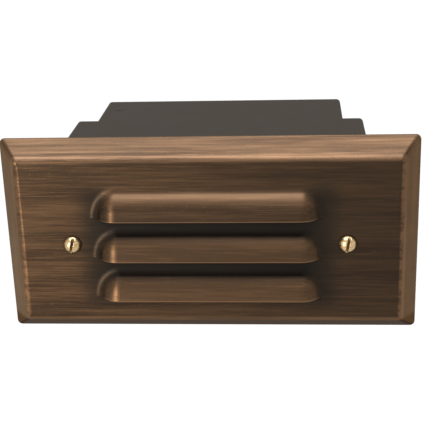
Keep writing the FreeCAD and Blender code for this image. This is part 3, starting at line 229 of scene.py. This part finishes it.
class PlatePaint(Paint):
    """Paint that knows the plate's places, as coordinates in metres and as masks from 0 to 1."""

    def __init__(self, name, **sockets):
        super().__init__(name, **sockets)
        self.x, self.y, self.z = (self.axis(letter) for letter in "XYZ")
        self.aside = self.maths("ABSOLUTE", self.x)
        over_top_lip = self.maths("SUBTRACT", self.z, TOP_LIP)
        self.above_lip = self.maths("FLOORED_MODULO", over_top_lip, LOUVRE_PITCH)
        self.from_lip = self.maths("PINGPONG", over_top_lip, LOUVRE_PITCH / 2)
        self.on_face = self.fade(self.y, FACE_Y + 1.4 * MM, FACE_Y + 0.2 * MM)
        self.proud = self.fade(self.y, FACE_Y - 0.6 * MM, FACE_Y - 3.0 * MM)
        self.top_hood = self.fade(self.z, TOP_LIP - LIP_BLUR, TOP_LIP)
        self.lower_hoods = self.fade(self.z, TOP_LIP, TOP_LIP - LIP_BLUR)
        past_corner = self.maths("SUBTRACT", self.aside, self.maths("ABSOLUTE", self.z))
        self.on_end = self.overlap(
            self.fade(past_corner, MITRE - 0.4 * MM, MITRE + 0.4 * MM),
            self.fade(self.aside, END_BEVEL, END_BEVEL + 1.5 * MM),
        )


def brush_bronze(paint, strokes, hairlines):
    """Broad bands with strokes and hairlines over them, fainter down the bevels."""
    bands = paint.noise(BANDS)
    colour = paint.mix(paint.fade(bands, 0.36, 0.64), BRONZE_DARK, BRONZE_LIGHT)
    colour = paint.mix(paint.fade(strokes, 0.5, 0.75, high=0.6), colour, BRONZE_BRUSHED_AND_HIGHLIGHT)
    colour = paint.mix(paint.fade(strokes, 0.5, 0.25, high=0.6), colour, BRONZE_PATINA_AND_SHADE)
    contrast = paint.fade(paint.y, FACE_Y + 4 * MM, FACE_Y + 1 * MM, low=0.6)
    lighter = paint.overlap(contrast, paint.fade(hairlines, 0.5, 0.7, high=0.7))
    darker = paint.overlap(contrast, paint.fade(hairlines, 0.5, 0.3, high=0.8))
    colour = paint.mix(lighter, colour, BRONZE_BRUSHED_AND_HIGHLIGHT)
    return paint.mix(darker, colour, BRONZE_PATINA_AND_SHADE)


def age_bronze(paint, colour):
    """Olive clouds and bright specks, and painted shade that darkens the flat face towards its right."""
    clouds = paint.noise(CLOUDS, detail=4.0, roughness=0.6)
    specks = paint.noise(SPECKS, detail=1.0)
    colour = paint.mix(paint.fade(clouds, 0.45, 0.75, high=0.3), colour, BRONZE_OLIVE)
    colour = paint.mix(paint.fade(specks, 0.68, 0.76, high=0.5), colour, BRONZE_BRUSHED_AND_HIGHLIGHT)
    flat_face = paint.maths("SUBTRACT", paint.on_face, paint.proud)
    # painted shade: the flat face turns darker towards its right, where less light falls
    shaded_right = paint.overlap(flat_face, paint.fade(paint.x, -70 * MM, 90 * MM, high=0.62))
    return paint.mix(shaded_right, colour, BRONZE_PATINA_AND_SHADE)


def shade_hoods(paint, colour):
    """Painted light and shade on the hoods: the top hood goes from painted shade at its lip to a painted
    highlight on its shoulder, the lower hoods' fronts get painted light, and between hoods painted shade
    keeps it black.
    """
    # painted highlight on the top hood's shoulder
    raised = paint.fade(paint.y, FACE_Y - 0.1 * MM, FACE_Y - 2.0 * MM)
    shoulder = paint.fade(paint.above_lip, 4 * MM, 12 * MM, high=0.7)
    colour = paint.mix(paint.overlap(raised, shoulder, paint.top_hood), colour, BRONZE_BRUSHED_AND_HIGHLIGHT)
    # painted shade on the top hood's front near its lip
    lip_shade = paint.fade(paint.above_lip, 7 * MM, 1.5 * MM, high=0.4)
    colour = paint.mix(paint.overlap(paint.proud, lip_shade, paint.top_hood), colour, BRONZE_PATINA_AND_SHADE)
    # painted light on the fronts of the lower hoods
    lower_front_light = paint.overlap(paint.proud, paint.lower_hoods, 0.3)
    colour = paint.mix(lower_front_light, colour, BRONZE_BRUSHED_AND_HIGHLIGHT)
    # painted shade between the hoods, where each hood shades the one below
    between = paint.overlap(
        paint.fade(paint.above_lip, 7 * MM, 12 * MM, high=0.85),
        paint.fade(paint.aside, HOOD_END + 5 * MM, HOOD_END - 5 * MM),
        paint.lower_hoods,
        paint.fade(paint.z, BOTTOM_LIP - LIP_BLUR, BOTTOM_LIP),
    )
    return paint.mix(between, colour, BRONZE_RECESS_SHADE)


def shade_bevels(paint, colour):
    """Painted shade on the low bevel, in its colour and also in its grazing reflection, and the two
    bevels at the ends are brushed bright.
    """
    # painted shade: the low bevel faces down, away from the light
    shaded_low_edge = paint.overlap(
        paint.fade(paint.z, -36 * MM, -39 * MM, high=0.9),
        paint.fade(paint.y, FACE_Y, FACE_Y + 0.4 * MM),
    )
    paint.set("Specular Tint", paint.mix(shaded_low_edge, GRAZING_TINT, GRAZING_TINT_SHADED))
    colour = paint.mix(shaded_low_edge, colour, BRONZE_PATINA_AND_SHADE)
    return paint.mix(paint.overlap(paint.on_end, 0.6), colour, BRONZE_BRUSHED_AND_HIGHLIGHT)


def shade_round_hood_ends(paint, colour):
    """Painted shade in a dark halo on the plate beside the ends of the group of hoods."""
    # painted shade around the hoods' round ends, milder on the raised parts
    halo = paint.overlap(
        paint.fade(paint.aside, HOOD_END + 12 * MM, HOOD_END + 1 * MM),
        paint.fade(paint.aside, HOOD_END - 9 * MM, HOOD_END),
        paint.fade(paint.z, BOTTOM_LIP - 9 * MM, BOTTOM_LIP + 1 * MM),
        paint.fade(paint.z, TOP_LIP + 20 * MM, TOP_LIP + 8 * MM),
        paint.fade(paint.y, FACE_Y - 2.5 * MM, FACE_Y - 0.4 * MM, 0.25, 0.8),
        paint.on_face,
    )
    return paint.mix(halo, colour, BRONZE_HALO_SHADE)


def wear_and_highlight_edges(paint, colour, strokes):
    """Rubbed edges, the round between face and bevel, and the hoods' lips, lighter partly from wear and
    partly as a painted highlight, which stays faint along the shaded bottom.
    """
    # painted highlight on the round between face and bevel, partly wear, kept off the bottom which is in
    # shade
    rounding_highlight = paint.overlap(
        paint.fade(paint.y, FACE_Y + 0.02 * MM, FACE_Y + 0.3 * MM),
        paint.fade(paint.y, FACE_Y + 3.0 * MM, FACE_Y + 1.2 * MM),
        paint.fade(paint.z, -41 * MM, -36 * MM, high=0.6),
    )
    worn_and_lit = paint.overlap(
        paint.maths("MAXIMUM", paint.edge(0.5 * MM), rounding_highlight),
        paint.fade(strokes, 0.35, 0.6, 0.2, 0.75),
        paint.fade(paint.z, -42 * MM, -40 * MM, low=0.25),
    )
    # painted highlight along the hoods' lips, partly wear
    lip = paint.overlap(
        paint.fade(paint.from_lip, 0.75 * MM, 0.15 * MM),
        paint.fade(paint.y, FACE_Y - 1.0 * MM, FACE_Y - 2.0 * MM, high=0.9),
    )
    return paint.mix(paint.maths("MAXIMUM", worn_and_lit, lip), colour, BRONZE_RUBBED_AND_HIGHLIGHT)


def blacken_and_shade_recesses(paint, colour):
    """Black stays in every hollow but the open foot above the top hood, partly the finish's own black
    and partly painted shade.
    """
    open_foot = paint.overlap(
        paint.fade(paint.z, TOP_LIP + 8 * MM, TOP_LIP + 12 * MM),
        paint.fade(paint.aside, HOOD_END + 4 * MM, HOOD_END - 10 * MM, high=0.8),
    )
    # the finish's black in the hollows, with painted shade where the plate is hemmed in, as under and
    # between the hoods
    in_the_open = paint.fade(paint.crease(16 * MM), 0.45, 0.9)
    return paint.mix(paint.maths("MAXIMUM", in_the_open, open_foot), BRONZE_RECESS_SHADE, colour)


def antique_bronze():
    """Blackened in the recesses and brushed back on all that stands proud, under a thin lacquer, with
    painted shade and painted highlights laid over the hoods, bevels and edges.
    """
    paint = PlatePaint(
        "antique_bronze",
        Metallic=1.0,
        Anisotropic=0.6,
        Coat_Weight=0.18,
        Coat_Roughness=0.45,
    )
    paint.brushed_along("X")
    strokes = paint.mix(
        paint.on_end,
        paint.noise(STROKES_ALONG, detail=4.0, roughness=0.65),
        paint.noise(STROKES_UP, detail=4.0, roughness=0.5),
    )
    hairlines = paint.mix(
        paint.on_end,
        paint.noise(HAIRLINES_ALONG, detail=4.0, roughness=0.75),
        paint.noise(HAIRLINES_UP, detail=4.0, roughness=0.7),
    )
    colour = brush_bronze(paint, strokes, hairlines)
    colour = age_bronze(paint, colour)
    colour = shade_hoods(paint, colour)
    colour = shade_bevels(paint, colour)
    colour = shade_round_hood_ends(paint, colour)
    colour = wear_and_highlight_edges(paint, colour, strokes)
    colour = blacken_and_shade_recesses(paint, colour)
    paint.set("Base Color", colour)
    paint.set("Roughness", paint.fade(strokes, 0.25, 0.75, 0.42, 0.34))
    paint.bump(hairlines, 0.012 * MM, 0.5)
    return paint.material


# ---- the other materials' shades, each from dark to light ----
BRASS = (0.46, 0.31, 0.14), (0.66, 0.50, 0.28)
# painted shade in the screw slot
BRASS_SLOT_SHADE = (0.07, 0.034, 0.013)
CUT_BRASS = (0.52, 0.36, 0.14), (0.74, 0.55, 0.25)
COPPER = (0.62, 0.35, 0.20), (0.78, 0.50, 0.33)
SPRING_STEEL = (0.42, 0.42, 0.43), (0.62, 0.62, 0.63)
ZINC = (0.45, 0.46, 0.49), (0.66, 0.67, 0.70)
ALUMINIUM = (0.72, 0.72, 0.73), (0.86, 0.86, 0.87)
PIN_ALLOY = (0.50, 0.49, 0.47), (0.70, 0.68, 0.65)
TUNGSTEN = (0.10, 0.10, 0.10), (0.22, 0.21, 0.21)
BOX_BROWN = (0.029, 0.022, 0.015), (0.036, 0.028, 0.019)
BLACK = (0.012, 0.012, 0.013), (0.026, 0.026, 0.028)
FOAM = (0.012, 0.012, 0.013), (0.040, 0.040, 0.042)
SILICONE = (0.48, 0.48, 0.46), (0.58, 0.58, 0.56)
SLEEVE = (0.66, 0.63, 0.57), (0.76, 0.73, 0.68)
CREAM = (0.66, 0.63, 0.55), (0.74, 0.71, 0.64)
FROST = (0.83, 0.88, 0.86), (0.93, 0.96, 0.95)
GLASS = (0.93, 0.95, 0.95), (0.98, 0.99, 0.99)
CERAMIC = (0.74, 0.71, 0.64), (0.83, 0.80, 0.74)
CERAMIC_SPECK = (0.42, 0.38, 0.32)
STRIPPED_LENGTH = 5.0 * MM


def polished_brass():
    """Turned brass with faint wipes, and painted shade down in the slot."""
    paint = Paint("polished_brass", Metallic=1.0)
    wipes = paint.noise((700, 700, 1500), detail=4.0)
    colour = paint.mix(paint.fade(wipes, 0.35, 0.7), *BRASS)
    # painted shade down in the slot
    in_the_open = paint.fade(paint.crease(2.0 * MM), 0.5, 0.9)
    paint.set("Base Color", paint.mix(in_the_open, BRASS_SLOT_SHADE, colour))
    paint.set("Roughness", paint.fade(wipes, 0.3, 0.7, 0.22, 0.34))
    paint.bump(wipes, 0.01 * MM, 0.5)
    return paint.material


def machined_brass():
    """Brass as it comes off the lathe, with rings round Y."""
    paint = Paint("machined_brass", Metallic=1.0)
    rings = paint.noise((500, 4000, 500))
    paint.set("Base Color", paint.mix(rings, *CUT_BRASS))
    paint.set("Roughness", paint.fade(rings, 0.3, 0.7, 0.28, 0.42))
    paint.bump(rings, 0.02 * MM, 0.5)
    return paint.material


def moulded_plastic(name, shades, grain, roughness, gloss=0.4):
    """Fine spark-eroded grain with faint cloudy gloss and paler rubbed edges."""
    paint = Paint(name, Specular_IOR_Level=gloss)
    fine = paint.noise(grain, detail=2.0)
    clouds = paint.noise(45.0, detail=4.0, distortion=0.4)
    colour = paint.mix(paint.fade(clouds, 0.3, 0.7), *shades)
    rubbed = tuple(min(1.0, 1.4 * part + 0.004) for part in shades[1])
    paint.set("Base Color", paint.mix(paint.overlap(paint.edge(0.5 * MM), 0.5), colour, rubbed))
    paint.set("Roughness", paint.fade(clouds, 0.3, 0.7, roughness - 0.06, roughness + 0.06))
    paint.bump(fine, 0.03 * MM, 0.7)
    return paint.material


def soft_rubber(name, shades, roughness):
    """Open pores, darker and duller than the skin between them."""
    paint = Paint(name, Specular_IOR_Level=0.3)
    pores = paint.noise(900.0, roughness=0.7)
    paint.set("Base Color", paint.mix(paint.fade(pores, 0.35, 0.65), *shades))
    paint.set("Roughness", paint.fade(pores, 0.3, 0.7, roughness + 0.1, roughness - 0.1))
    paint.bump(pores, 0.06 * MM, 0.8)
    return paint.material


def frosted_glass():
    """Sand-blasted glass with faint clouds."""
    paint = Paint("frosted_glass", Transmission_Weight=1.0, IOR=1.5)
    blast = paint.noise(3500.0, detail=2.0)
    clouds = paint.noise(60.0)
    paint.set("Base Color", paint.mix(clouds, *FROST))
    paint.set("Roughness", paint.fade(clouds, 0.3, 0.7, 0.38, 0.5))
    paint.bump(blast, 0.02 * MM, 0.6)
    return paint.material


def lamp_glass():
    """Clear quartz with slight waves from the flame that shaped it."""
    paint = Paint("lamp_glass", Transmission_Weight=1.0, IOR=1.47)
    waves = paint.noise(120.0, detail=2.0)
    paint.set("Base Color", paint.mix(waves, *GLASS))
    paint.set("Roughness", paint.fade(waves, 0.3, 0.7, 0.02, 0.06))
    paint.bump(waves, 0.05 * MM, 0.4)
    return paint.material


def rolled_metal(name, shades, lines_grain, roughness=0.32):
    """Sheet or wire with lines along the way it was rolled or drawn."""
    paint = Paint(name, Metallic=1.0)
    lines = paint.noise(lines_grain, detail=4.0, roughness=0.65)
    smears = paint.noise(70.0)
    colour = paint.mix(paint.fade(lines, 0.3, 0.7), *shades)
    paint.set("Base Color", paint.mix(paint.fade(smears, 0.4, 0.8, high=0.35), colour, shades[0]))
    paint.set("Roughness", paint.fade(smears, 0.3, 0.7, roughness - 0.06, roughness + 0.1))
    paint.bump(lines, 0.015 * MM, 0.6)
    return paint.material


def white_ceramic():
    """Unglazed steatite: warm white with faint specks."""
    paint = Paint("white_ceramic")
    clouds = paint.noise(120.0, detail=4.0)
    specks = paint.noise(2600.0, detail=1.0)
    colour = paint.mix(clouds, *CERAMIC)
    paint.set("Base Color", paint.mix(paint.fade(specks, 0.72, 0.8, high=0.6), colour, CERAMIC_SPECK))
    paint.set("Roughness", paint.fade(clouds, 0.3, 0.7, 0.5, 0.65))
    paint.bump(specks, 0.03 * MM, 0.5)
    return paint.material


def lead_insulation():
    """Silicone sleeve, and bare copper below where it is stripped."""
    paint = Paint("lead_sleeve")
    ripple = paint.noise(600.0)
    lead_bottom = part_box("lead_left")[0][2]
    strip_z = lead_bottom + STRIPPED_LENGTH
    bare = paint.fade(paint.axis("Z"), strip_z + 0.1 * MM, strip_z)
    sleeve = paint.mix(ripple, *SLEEVE)
    copper = paint.mix(ripple, *COPPER)
    paint.set("Base Color", paint.mix(bare, sleeve, copper))
    paint.set("Metallic", bare)
    paint.set("Roughness", paint.fade(bare, 0.0, 1.0, 0.6, 0.3))
    paint.bump(ripple, 0.03 * MM, 0.5)
    return paint.material


MATERIALS = {
    "antique_bronze": antique_bronze(),
    "polished_brass": polished_brass(),
    "machined_brass": machined_brass(),
    "box_plastic": moulded_plastic("box_plastic", BOX_BROWN, 1800.0, roughness=0.75, gloss=0.12),
    "foam_gasket": soft_rubber("foam_gasket", FOAM, roughness=0.85),
    "clear_silicone": soft_rubber("clear_silicone", SILICONE, roughness=0.4),
    "black_rubber": soft_rubber("black_rubber", BLACK, roughness=0.6),
    "frosted_glass": frosted_glass(),
    "spring_steel": rolled_metal("spring_steel", SPRING_STEEL, (80, 80, 2500)),
    "zinc_steel": rolled_metal("zinc_steel", ZINC, (900, 300, 900), roughness=0.38),
    "reflector_sheet": rolled_metal("reflector_sheet", ALUMINIUM, (25, 1800, 1800), roughness=0.26),
    "white_ceramic": white_ceramic(),
    "lamp_glass": lamp_glass(),
    "pin_metal": rolled_metal("pin_metal", PIN_ALLOY, (3000, 90, 3000)),
    "filament_metal": rolled_metal("filament_metal", TUNGSTEN, (3000, 3000, 3000)),
    "terminal_plastic": moulded_plastic("terminal_plastic", CREAM, 1500.0, roughness=0.45),
    "lead_insulation": lead_insulation(),
    "gland_plastic": moulded_plastic("gland_plastic", BLACK, 1500.0, roughness=0.42),
}

for part in frame["record"]["subparts"]:
    for slot in frame["nodes"][part["node"]].material_slots:
        slot.material = MATERIALS[part["material_slot"]]


# ---- pieces with detail finer than the frame's ----
SHARP = math.radians(32)
ONE_POINT = 0.001 * MM  # vertices nearer than this are one

THREADS_PER_INCH = 32
THREAD_PITCH = INCH / THREADS_PER_INCH
THREAD_DEPTH = 0.36 * MM
THREAD_RUN_IN = 0.5 * MM
THREAD_SIDES = 36
ROWS_PER_TURN = 10
SHANK_RADIUS = 2.05 * MM
PLAIN_SHANK = 2.5 * MM  # without a thread, under the head
POINT_CHAMFER = 0.8 * MM
INTO_HEAD = 0.3 * MM  # how deep in the head the new shank starts
BELOW_HEAD = 0.1 * MM  # all of the frame's screw that is further in than this is its old shank

COIL_TURNS = 20
COIL_STEPS = 14
COIL_WIRE = 0.08 * MM
LEG_WIRE = 0.3 * MM
LEG_TAPER = 0.7  # a leg's end is this much of its width
LEG_TAPER_SHARE = 0.02  # of the leg's length
WIRE_SIDES = 8


def add_piece(name, solid, slot, body, node):
    """Turns a bmesh into a piece that stands for a node of the frame."""
    bmesh.ops.recalc_face_normals(solid, faces=solid.faces[:])
    mesh = bpy.data.meshes.new(name)
    solid.to_mesh(mesh)
    solid.free()
    mesh.shade_smooth()
    mesh.set_sharp_from_angle(angle=SHARP)
    mesh.materials.append(MATERIALS[slot])
    piece = bpy.data.objects.new(name, mesh)
    bpy.context.scene.collection.objects.link(piece)
    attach(piece, body)
    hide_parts(node)


def skin(solid, rings):
    """Closes a row of rings of vertices into one shell."""
    for before, after in zip(rings, rings[1:]):
        for here in range(len(before)):
            beside = (here + 1) % len(before)
            solid.faces.new((before[here], before[beside], after[beside], after[here]))
    solid.faces.new(rings[0])
    solid.faces.new(rings[-1])


def frame_head(node):
    """The frame's screw without its shank, closed below the head."""
    solid = bmesh.new()
    solid.from_mesh(frame["nodes"][node].data)
    bmesh.ops.remove_doubles(solid, verts=solid.verts[:], dist=ONE_POINT)
    shank = [vertex for vertex in solid.verts if vertex.co.y > FACE_Y + BELOW_HEAD]
    bmesh.ops.delete(solid, geom=shank, context="VERTS")
    rim = [edge for edge in solid.edges if edge.is_boundary]
    bmesh.ops.holes_fill(solid, edges=rim, sides=0)
    return solid


def shank_radius(y, angle, tip):
    """A V thread that runs in over a short way past the plain shank, with a chamfered point."""
    phase = (y / THREAD_PITCH - angle / math.tau) % 1.0
    groove = abs(2 * phase - 1)
    thread_start = FACE_Y + PLAIN_SHANK
    run_in = min(max((y - thread_start) / THREAD_RUN_IN, 0.0), 1.0)
    threaded = SHANK_RADIUS - THREAD_DEPTH * groove * run_in
    chamfered = SHANK_RADIUS - POINT_CHAMFER + (tip - y)
    return min(threaded, chamfered)


def make_threaded_screw(side):
    """The frame's screw with its head as it is and a real thread on its shank."""
    node = "faceplate_screw_" + side
    low, high = (Vector(corner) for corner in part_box(node))
    middle = (low + high) / 2
    tip = high.y
    solid = frame_head(node)
    start = FACE_Y - INTO_HEAD
    rows = round((tip - start) / THREAD_PITCH * ROWS_PER_TURN)
    rings = []
    for row in range(rows + 1):
        y = start + (tip - start) * row / rows
        ring = []
        for corner in range(THREAD_SIDES):
            angle = math.tau * corner / THREAD_SIDES
            radius = shank_radius(y, angle, tip)
            place = (middle.x + radius * math.sin(angle), y, middle.z + radius * math.cos(angle))
            ring.append(solid.verts.new(place))
        rings.append(ring)
    skin(solid, rings)
    add_piece("threaded_screw_" + side, solid, "polished_brass", side + "_screw", node)


def add_tube(solid, path, radii):
    """A wire along a path, whose rings turn as little as possible from one to the next."""
    rings = []
    across = Vector((0, 0, 1))
    for here, (place, radius) in enumerate(zip(path, radii)):
        ahead = (path[min(here + 1, len(path) - 1)] - path[max(here - 1, 0)]).normalized()
        across = (across - ahead * across.dot(ahead)).normalized()
        beside = ahead.cross(across)
        ring = []
        for corner in range(WIRE_SIDES):
            turn = math.tau * corner / WIRE_SIDES
            outward = math.cos(turn) * across + math.sin(turn) * beside
            ring.append(solid.verts.new(place + radius * outward))
        rings.append(ring)
    skin(solid, rings)


def make_filament_coil():
    """A fine tungsten coil between two legs, in the space of the frame's plain filament."""
    low, high = (Vector(corner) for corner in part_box("lamp_filament"))
    rod_radius = high.z
    coil_radius = rod_radius - COIL_WIRE
    coil_y = low.y + rod_radius
    leg_x = high.x - LEG_WIRE
    solid = bmesh.new()
    steps = COIL_TURNS * COIL_STEPS
    path = []
    for step in range(steps + 1):
        turn = math.tau * step / COIL_STEPS
        x = -leg_x + 2 * leg_x * step / steps
        path.append(Vector((x, coil_y + coil_radius * math.cos(turn), coil_radius * math.sin(turn))))
    add_tube(solid, path, [COIL_WIRE] * len(path))
    leg_length = high.y - coil_y
    for side in (-1, 1):
        leg = []
        for share in (0, LEG_TAPER_SHARE, 0.5, 1):
            leg.append(Vector((side * leg_x, coil_y + leg_length * share, 0)))
        add_tube(solid, leg, [LEG_WIRE * LEG_TAPER, LEG_WIRE, LEG_WIRE, LEG_WIRE])
    add_piece("filament_coil", solid, "filament_metal", "lamp", "lamp_filament")


make_threaded_screw("left")
make_threaded_screw("right")
make_filament_coil()


# ---- stage ----
FLOOR_DROP = 0.35  # the light is held up by its wall seat, over a plain floor
FLOOR_SIZE = 12.0
FLOOR_PALE = (0.82, 0.82, 0.82), (0.86, 0.86, 0.86)
FLOOR_GLOW = 1.09
FLOOR_GLOW_SHARE = 0.9
AMBIENT = (0.48, 0.48, 0.48, 1.0)
WHITE = (1.0, 1.0, 1.0, 1.0)


def seen_directly(tree):
    """1 where the camera, a gloss or a glass looks, and 0 for the light that falls on matt surfaces."""
    path = tree.nodes.new("ShaderNodeLightPath")
    seen = path.outputs["Is Camera Ray"]
    for ray in ("Is Glossy Ray", "Is Transmission Ray"):
        either = tree.nodes.new("ShaderNodeMath")
        either.operation = "MAXIMUM"
        tree.links.new(seen, either.inputs[0])
        tree.links.new(path.outputs[ray], either.inputs[1])
        seen = either.outputs[0]
    return seen


def make_world():
    """White to look at, and a soft even light on matt surfaces."""
    world = bpy.data.worlds.new("studio")
    bpy.context.scene.world = world
    world.use_nodes = True
    tree = world.node_tree
    mix = tree.nodes.new("ShaderNodeMix")
    mix.data_type = "RGBA"
    tree.links.new(seen_directly(tree), mix.inputs["Factor"])
    mix.inputs[MIX_FIRST].default_value = AMBIENT
    mix.inputs[MIX_SECOND].default_value = WHITE
    tree.links.new(mix.outputs[MIX_RESULT], tree.nodes["Background"].inputs["Color"])


def make_floor():
    """A pale floor that shows white and still takes the object's faint shadow."""
    half = FLOOR_SIZE / 2
    z = cad_box[0][2] - FLOOR_DROP
    corners = [(-half, -half, z), (half, -half, z), (half, half, z), (-half, half, z)]
    mesh = bpy.data.meshes.new("floor")
    mesh.from_pydata(corners, [], [(0, 1, 2, 3)])
    floor = bpy.data.objects.new("floor", mesh)
    bpy.context.scene.collection.objects.link(floor)
    paint = Paint("floor", Roughness=0.9, Specular_IOR_Level=0.0)
    paint.set("Base Color", paint.mix(paint.noise(40.0), *FLOOR_PALE))
    glow = paint.tree.nodes.new("ShaderNodeEmission")
    glow.inputs["Strength"].default_value = FLOOR_GLOW
    blend = paint.tree.nodes.new("ShaderNodeMixShader")
    paint.wire(paint.overlap(seen_directly(paint.tree), FLOOR_GLOW_SHARE), blend.inputs["Fac"])
    paint.wire(paint.surface.outputs[0], blend.inputs[1])
    paint.wire(glow.outputs[0], blend.inputs[2])
    paint.wire(blend.outputs[0], paint.tree.nodes["Material Output"].inputs["Surface"])
    mesh.materials.append(paint.material)


def make_softbox(name, place, aim, size, power, colour):
    light = bpy.data.lights.new(name, "AREA")
    light.shape = "RECTANGLE"
    light.size, light.size_y = size
    light.energy = power
    light.color = colour
    lamp = bpy.data.objects.new(name, light)
    lamp.location = place
    lamp.rotation_euler = (Vector(aim) - Vector(place)).to_track_quat("-Z", "Y").to_euler()
    lamp.visible_camera = False
    bpy.context.scene.collection.objects.link(lamp)


def make_camera():
    data = bpy.data.cameras.new("camera")
    data.lens = CAMERA_LENS
    data.sensor_width = CAMERA_SENSOR
    data.clip_start = CAMERA_NEAR
    camera = bpy.data.objects.new("camera", data)
    side = CAMERA_LOOK.cross(CAMERA_UP).normalized()
    up = side.cross(CAMERA_LOOK).normalized()
    turn = Matrix((side, up, -CAMERA_LOOK.normalized())).transposed()
    camera.matrix_world = Matrix.Translation(CAMERA_PLACE) @ turn.to_4x4()
    bpy.context.scene.collection.objects.link(camera)
    bpy.context.scene.camera = camera


make_world()
make_floor()
make_softbox(
    "overhead",
    place=(-0.08, -0.20, 1.0),
    aim=(-0.08, -0.20, 0.0),
    size=(1.05, 0.72),
    power=14.3,
    colour=(0.93, 1.0, 1.17),
)
make_softbox(
    "front_left",
    place=(-0.62, -0.95, -0.02),
    aim=(0.0, 0.0, 0.0),
    size=(0.22, 0.62),
    power=9.0,
    colour=(1.0, 0.93, 0.85),
)
make_camera()
bpy.context.scene.view_settings.view_transform = "Standard"
